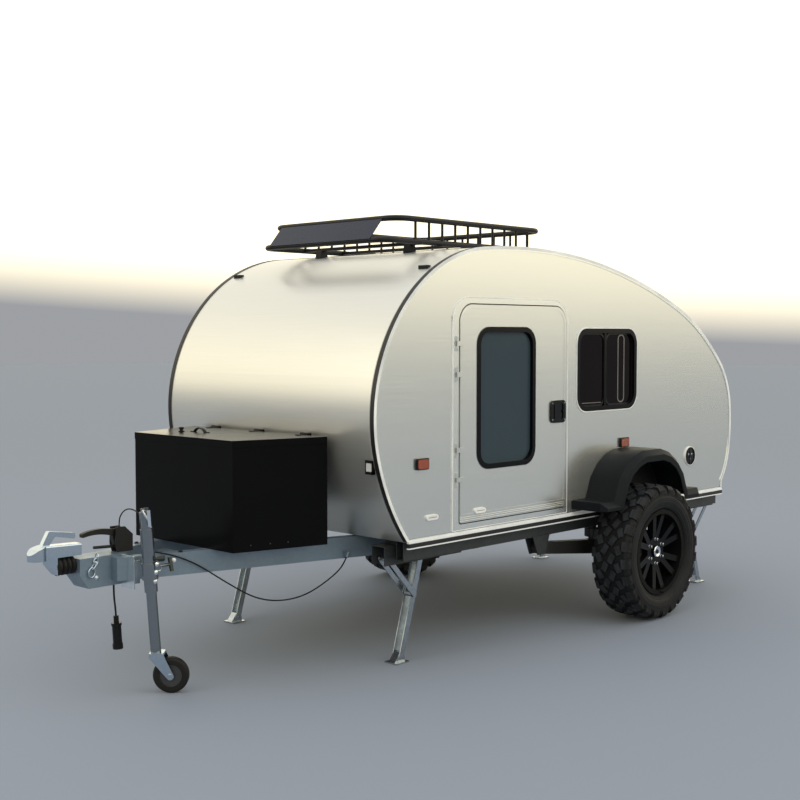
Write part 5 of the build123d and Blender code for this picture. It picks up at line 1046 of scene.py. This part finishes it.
# Jockey wheel: the clamp's ball, plate, flange, knob, bolts and hook, crank grip, axle bolts
CLAMP_ZS = (0.600, 0.562, 0.520)
BALL_R = 0.0105
BALL_STEPS = 8
KNOB = ((0.007, 0.0), (0.007, 0.012), (0.013, 0.015), (0.0135, 0.030), (0.013, 0.042), (0.009, 0.047),
        (0.0, 0.047))
HOOK = ((1.822, 0.240, 0.606), (1.806, 0.243, 0.596), (1.800, 0.243, 0.578), (1.808, 0.242, 0.560),
        (1.820, 0.240, 0.567))
CRANK_GRIP = ((1.8991, 0.2418, 0.850), (1.8966, 0.2458, 0.838), (1.8897, 0.2512, 0.822),
              (1.8780, 0.2569, 0.804), (1.8694, 0.2580, 0.786), (1.8646, 0.2570, 0.770))
clamp_spots = [(touch("jockey_post", (1.84, 0.60, z), -LEFTWARD)[0], LEFTWARD) for z in CLAMP_ZS]
ball_profile = []
for n in range(BALL_STEPS + 1):
    turn = math.pi * n / BALL_STEPS
    ball_profile.append((BALL_R * math.sin(turn), -BALL_R * math.cos(turn)))
turned("clamp_ball", (1.7355, 0.2480, 0.6030), -UPWARD, ball_profile, 20, mat_white, "root", 60.0)
block("clamp_plate", (1.8955, 0.070, 0.480), (1.9005, 0.172, 0.632), mat_plated, "root", 0.0015)
block("clamp_flange", (1.868, 0.1685, 0.505), (1.9005, 0.1725, 0.612), mat_plated, "root", 0.0015)
turned("clamp_knob", (1.8415, 0.2490, 0.622), (-0.62, 0.78, 0.1), KNOB, 24, mat_knob, "root", 40.0)
bolts("clamp_bolts", clamp_spots, 0.0075, mat_chrome, "root", 6, 1.5)
rod("clamp_hook", HOOK, 0.0026, mat_chrome)
rod("crank_grip", CRANK_GRIP, 0.0055, mat_chrome)
axle_spots = [touch("jockey_fork", (1.75, side, 0.09), (0, -side, 0)) for side in (1.0, -1.0)]
bolts("fork_axle_bolts", axle_spots, 0.0085, mat_zinc, "jockey_fork_body", 6, 1.4)

# Hatch: sunk pulls with locks, and a line round each
PULL_Y = 0.420
PULL_Z = 0.875
PULL_LOCK = ((0.0095, -0.001), (0.0095, 0.003), (0.008, 0.004), (0.0, 0.004))
PULL_LINE = ((-0.046, 0.013), (-0.040, 0.0165), (0.040, 0.0165), (0.046, 0.013),
             (0.046, -0.013), (0.040, -0.0165), (-0.040, -0.0165), (-0.046, -0.013))
for name, sign in SIDES:
    place = touch("hatch", (-2.9, sign * PULL_Y, PULL_Z), (1.0, 0.0, 0.0))[0]
    turned("hatch_lock_" + name, place + Vector((0.0004, sign * 0.032, 0.0)), (-1, 0, 0), PULL_LOCK, 24,
           mat_chrome, "rear_hatch")
    loop = [(place.x - 0.0016, sign * PULL_Y + dy, PULL_Z + dz) for dy, dz in PULL_LINE]
    rod("hatch_pull_line_" + name, loop, 0.0016, mat_gloss, "rear_hatch", closed=True)
tint("hatch", (mat_black, lambda c, n: 0.84 < c.z < 0.91 and c.x < -2.29 and abs(abs(c.y) - PULL_Y) < 0.0551))

# Number plate stays blank, with two screws
rear_face = min(v.co.x for v in nodes_of["rear_beam"].data.vertices)
tint("rear_beam", (mat_plate, lambda c, n: c.x < rear_face + 0.0045 and abs(c.y) < 0.2205))
plate_spots = [((rear_face + 0.0002, y, 0.594), Vector((-1, 0, 0))) for y in (-0.15, 0.15)]
bolts("plate_screws", plate_spots, 0.004, mat_zinc, "root", 16, 1.3, 0.4)

# Mattress: padded cloth in place of its plain solid
PAD_START = Vector((0.975, 0.975, 0.80))  # shares of the solid's size before it is blown up
PAD_VOXEL = 0.030
PAD_FRAMES = 20
PAD_REACH = 0.024  # no point moves further than this


def box_of(node):
    """The low and high corners of a node."""
    points = [v.co for v in nodes_of[node].data.vertices]
    low = Vector([min(p[n] for p in points) for n in range(3)])
    high = Vector([max(p[n] for p in points) for n in range(3)])
    return low, high


def inflate(obj, low, high):
    """Blow a piece up by cloth simulation, and keep it inside the box from low to high."""
    remesh = obj.modifiers.new("remesh", "REMESH")
    remesh.mode = "VOXEL"
    remesh.voxel_size = PAD_VOXEL
    bpy.context.view_layer.objects.active = obj
    obj.select_set(True)
    bpy.ops.object.modifier_apply(modifier="remesh")
    start = [v.co.copy() for v in obj.data.vertices]
    cloth = obj.modifiers.new("cloth", "CLOTH")
    cloth.settings.use_pressure = True
    cloth.settings.uniform_pressure_force = 4.0
    cloth.settings.effector_weights.gravity = 0.0
    cloth.settings.quality = 6
    cloth.settings.mass = 0.3
    for step in range(1, PAD_FRAMES + 1):
        bpy.context.scene.frame_set(step)
    shaped = obj.evaluated_get(bpy.context.evaluated_depsgraph_get()).to_mesh()
    ends = [v.co.copy() for v in shaped.vertices]
    obj.evaluated_get(bpy.context.evaluated_depsgraph_get()).to_mesh_clear()
    obj.modifiers.remove(cloth)
    bpy.context.scene.frame_set(1)
    for vert, first, last in zip(obj.data.vertices, start, ends):
        step = last - first
        if step.length > PAD_REACH:
            step *= PAD_REACH / step.length
        end = first + step
        for n in range(3):
            end[n] = min(max(end[n], low[n] + 0.001), high[n] - 0.0005)
        vert.co = end
    smoother = obj.modifiers.new("subdivide", "SUBSURF")
    smoother.levels = 1
    smoother.render_levels = 1
    obj.select_set(False)
    for face in obj.data.polygons:
        face.use_smooth = True


def pad(name, node):
    """A stuffed copy of a node."""
    mesh = nodes_of[node].data.copy()
    mesh.name = name
    mesh.materials.clear()
    obj = add_object(name, mesh, DRESS[node])
    low, high = box_of(node)
    middle = (low + high) / 2
    for vert in mesh.vertices:
        vert.co = middle + (vert.co - middle) * PAD_START
    inflate(obj, low, high)
    return obj


mattress = pad("padded_mattress", "mattress")
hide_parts("mattress")

# Floor
FLOOR_HALF = 60
floor_mesh = bpy.data.meshes.new("floor")
floor_corners = [(-1, -1), (1, -1), (1, 1), (-1, 1)]
floor_mesh.from_pydata([(FLOOR_HALF * x, FLOOR_HALF * y, 0) for x, y in floor_corners], [], [(0, 1, 2, 3)])
floor = show("floor", floor_mesh)
floor_mesh.materials.append(Shader("pale_floor", (0.235, 0.272, 0.34), 0.85).set(Specular_IOR_Level=0.2).mat)
floor.location.z = -0.001

# Sky: a studio's light by height, grey near the ground, warm above it, cool overhead
BAND_LIFT = 0.105  # scale of how much higher the bands lie ahead of the trailer
BAND_LEAN = 0.714  # share of it that goes with the direction along x
BAND_BASE = 0.5  # share of it that holds all round
# Columns: degrees above the horizon, colour
SKY_BANDS = (
    (-90.0, (0.34, 0.35, 0.37)),
    (0.5, (0.34, 0.35, 0.37)),
    (3.0, (1.62, 1.46, 1.08)),
    (20.0, (1.52, 1.39, 1.08)),
    (38.0, (1.16, 1.11, 0.98)),
    (60.0, (0.85, 0.87, 0.91)),
    (90.0, (0.68, 0.75, 0.87)),
)
world = bpy.data.worlds.new("studio")
bpy.context.scene.world = world
world.use_nodes = True
tree = world.node_tree
sky = tree.nodes["Background"]
direction = tree.nodes.new("ShaderNodeTexCoord")
ramp = tree.nodes.new("ShaderNodeValToRGB")
height = tree.nodes.new("ShaderNodeMapRange")
height.inputs["From Min"].default_value = -1.0
lean = tree.nodes.new("ShaderNodeVectorMath")
lean.operation = "DOT_PRODUCT"
lean.inputs[1].default_value = (-BAND_LIFT * BAND_LEAN, 0.0, 1.0)
tree.links.new(direction.outputs["Generated"], lean.inputs[0])
lower = tree.nodes.new("ShaderNodeMath")
lower.operation = "SUBTRACT"
lower.inputs[1].default_value = BAND_LIFT * BAND_BASE
tree.links.new(lean.outputs["Value"], lower.inputs[0])
tree.links.new(lower.outputs["Value"], height.inputs["Value"])
tree.links.new(height.outputs["Result"], ramp.inputs["Fac"])
bands = ramp.color_ramp
while len(bands.elements) < len(SKY_BANDS):
    bands.elements.new(0.5)
for element, (degrees, colour) in zip(bands.elements, SKY_BANDS):
    element.position = (1.0 + math.sin(math.radians(degrees))) / 2.0
    element.color = (*colour, 1.0)
tree.links.new(ramp.outputs["Color"], sky.inputs["Color"])
sky.inputs["Strength"].default_value = 1.0

# Lamps


def area_light(name, place, target, size, power, colour):
    """A soft square lamp that looks at a point."""
    lamp = bpy.data.lights.new(name, "AREA")
    lamp.size = size
    lamp.energy = power
    lamp.color = colour
    obj = show(name, lamp)
    obj.location = place
    aim = Vector(target) - Vector(place)
    obj.rotation_euler = aim.to_track_quat("-Z", "Y").to_euler()


area_light("key", (-1.0, 6.5, 6.5), (0.0, 0.0, 1.2), 5.0, 80.0, (1.0, 0.95, 0.88))
area_light("front", (7.5, -2.5, 5.0), (0.5, 0.0, 1.2), 5.0, 60.0, (1.0, 0.95, 0.86))
area_light("top", (-0.5, 0.0, 8.0), (-0.5, 0.0, 2.0), 6.0, 50.0, (1.0, 0.97, 0.92))

# Camera
camera_data = bpy.data.cameras.new("camera")
camera_data.sensor_width = 36.0
camera_data.lens = CAMERA_LENS
camera_data.clip_end = 200.0
camera = show("camera", camera_data)
camera.location = CAMERA_PLACE
look = Vector((
    -math.cos(CAMERA_YAW) * math.cos(CAMERA_PITCH),
    -math.sin(CAMERA_YAW) * math.cos(CAMERA_PITCH),
    -math.sin(CAMERA_PITCH),
))
camera.rotation_euler = look.to_track_quat("-Z", "Y").to_euler()
bpy.context.scene.camera = camera
bpy.context.scene.view_settings.view_transform = "Standard"
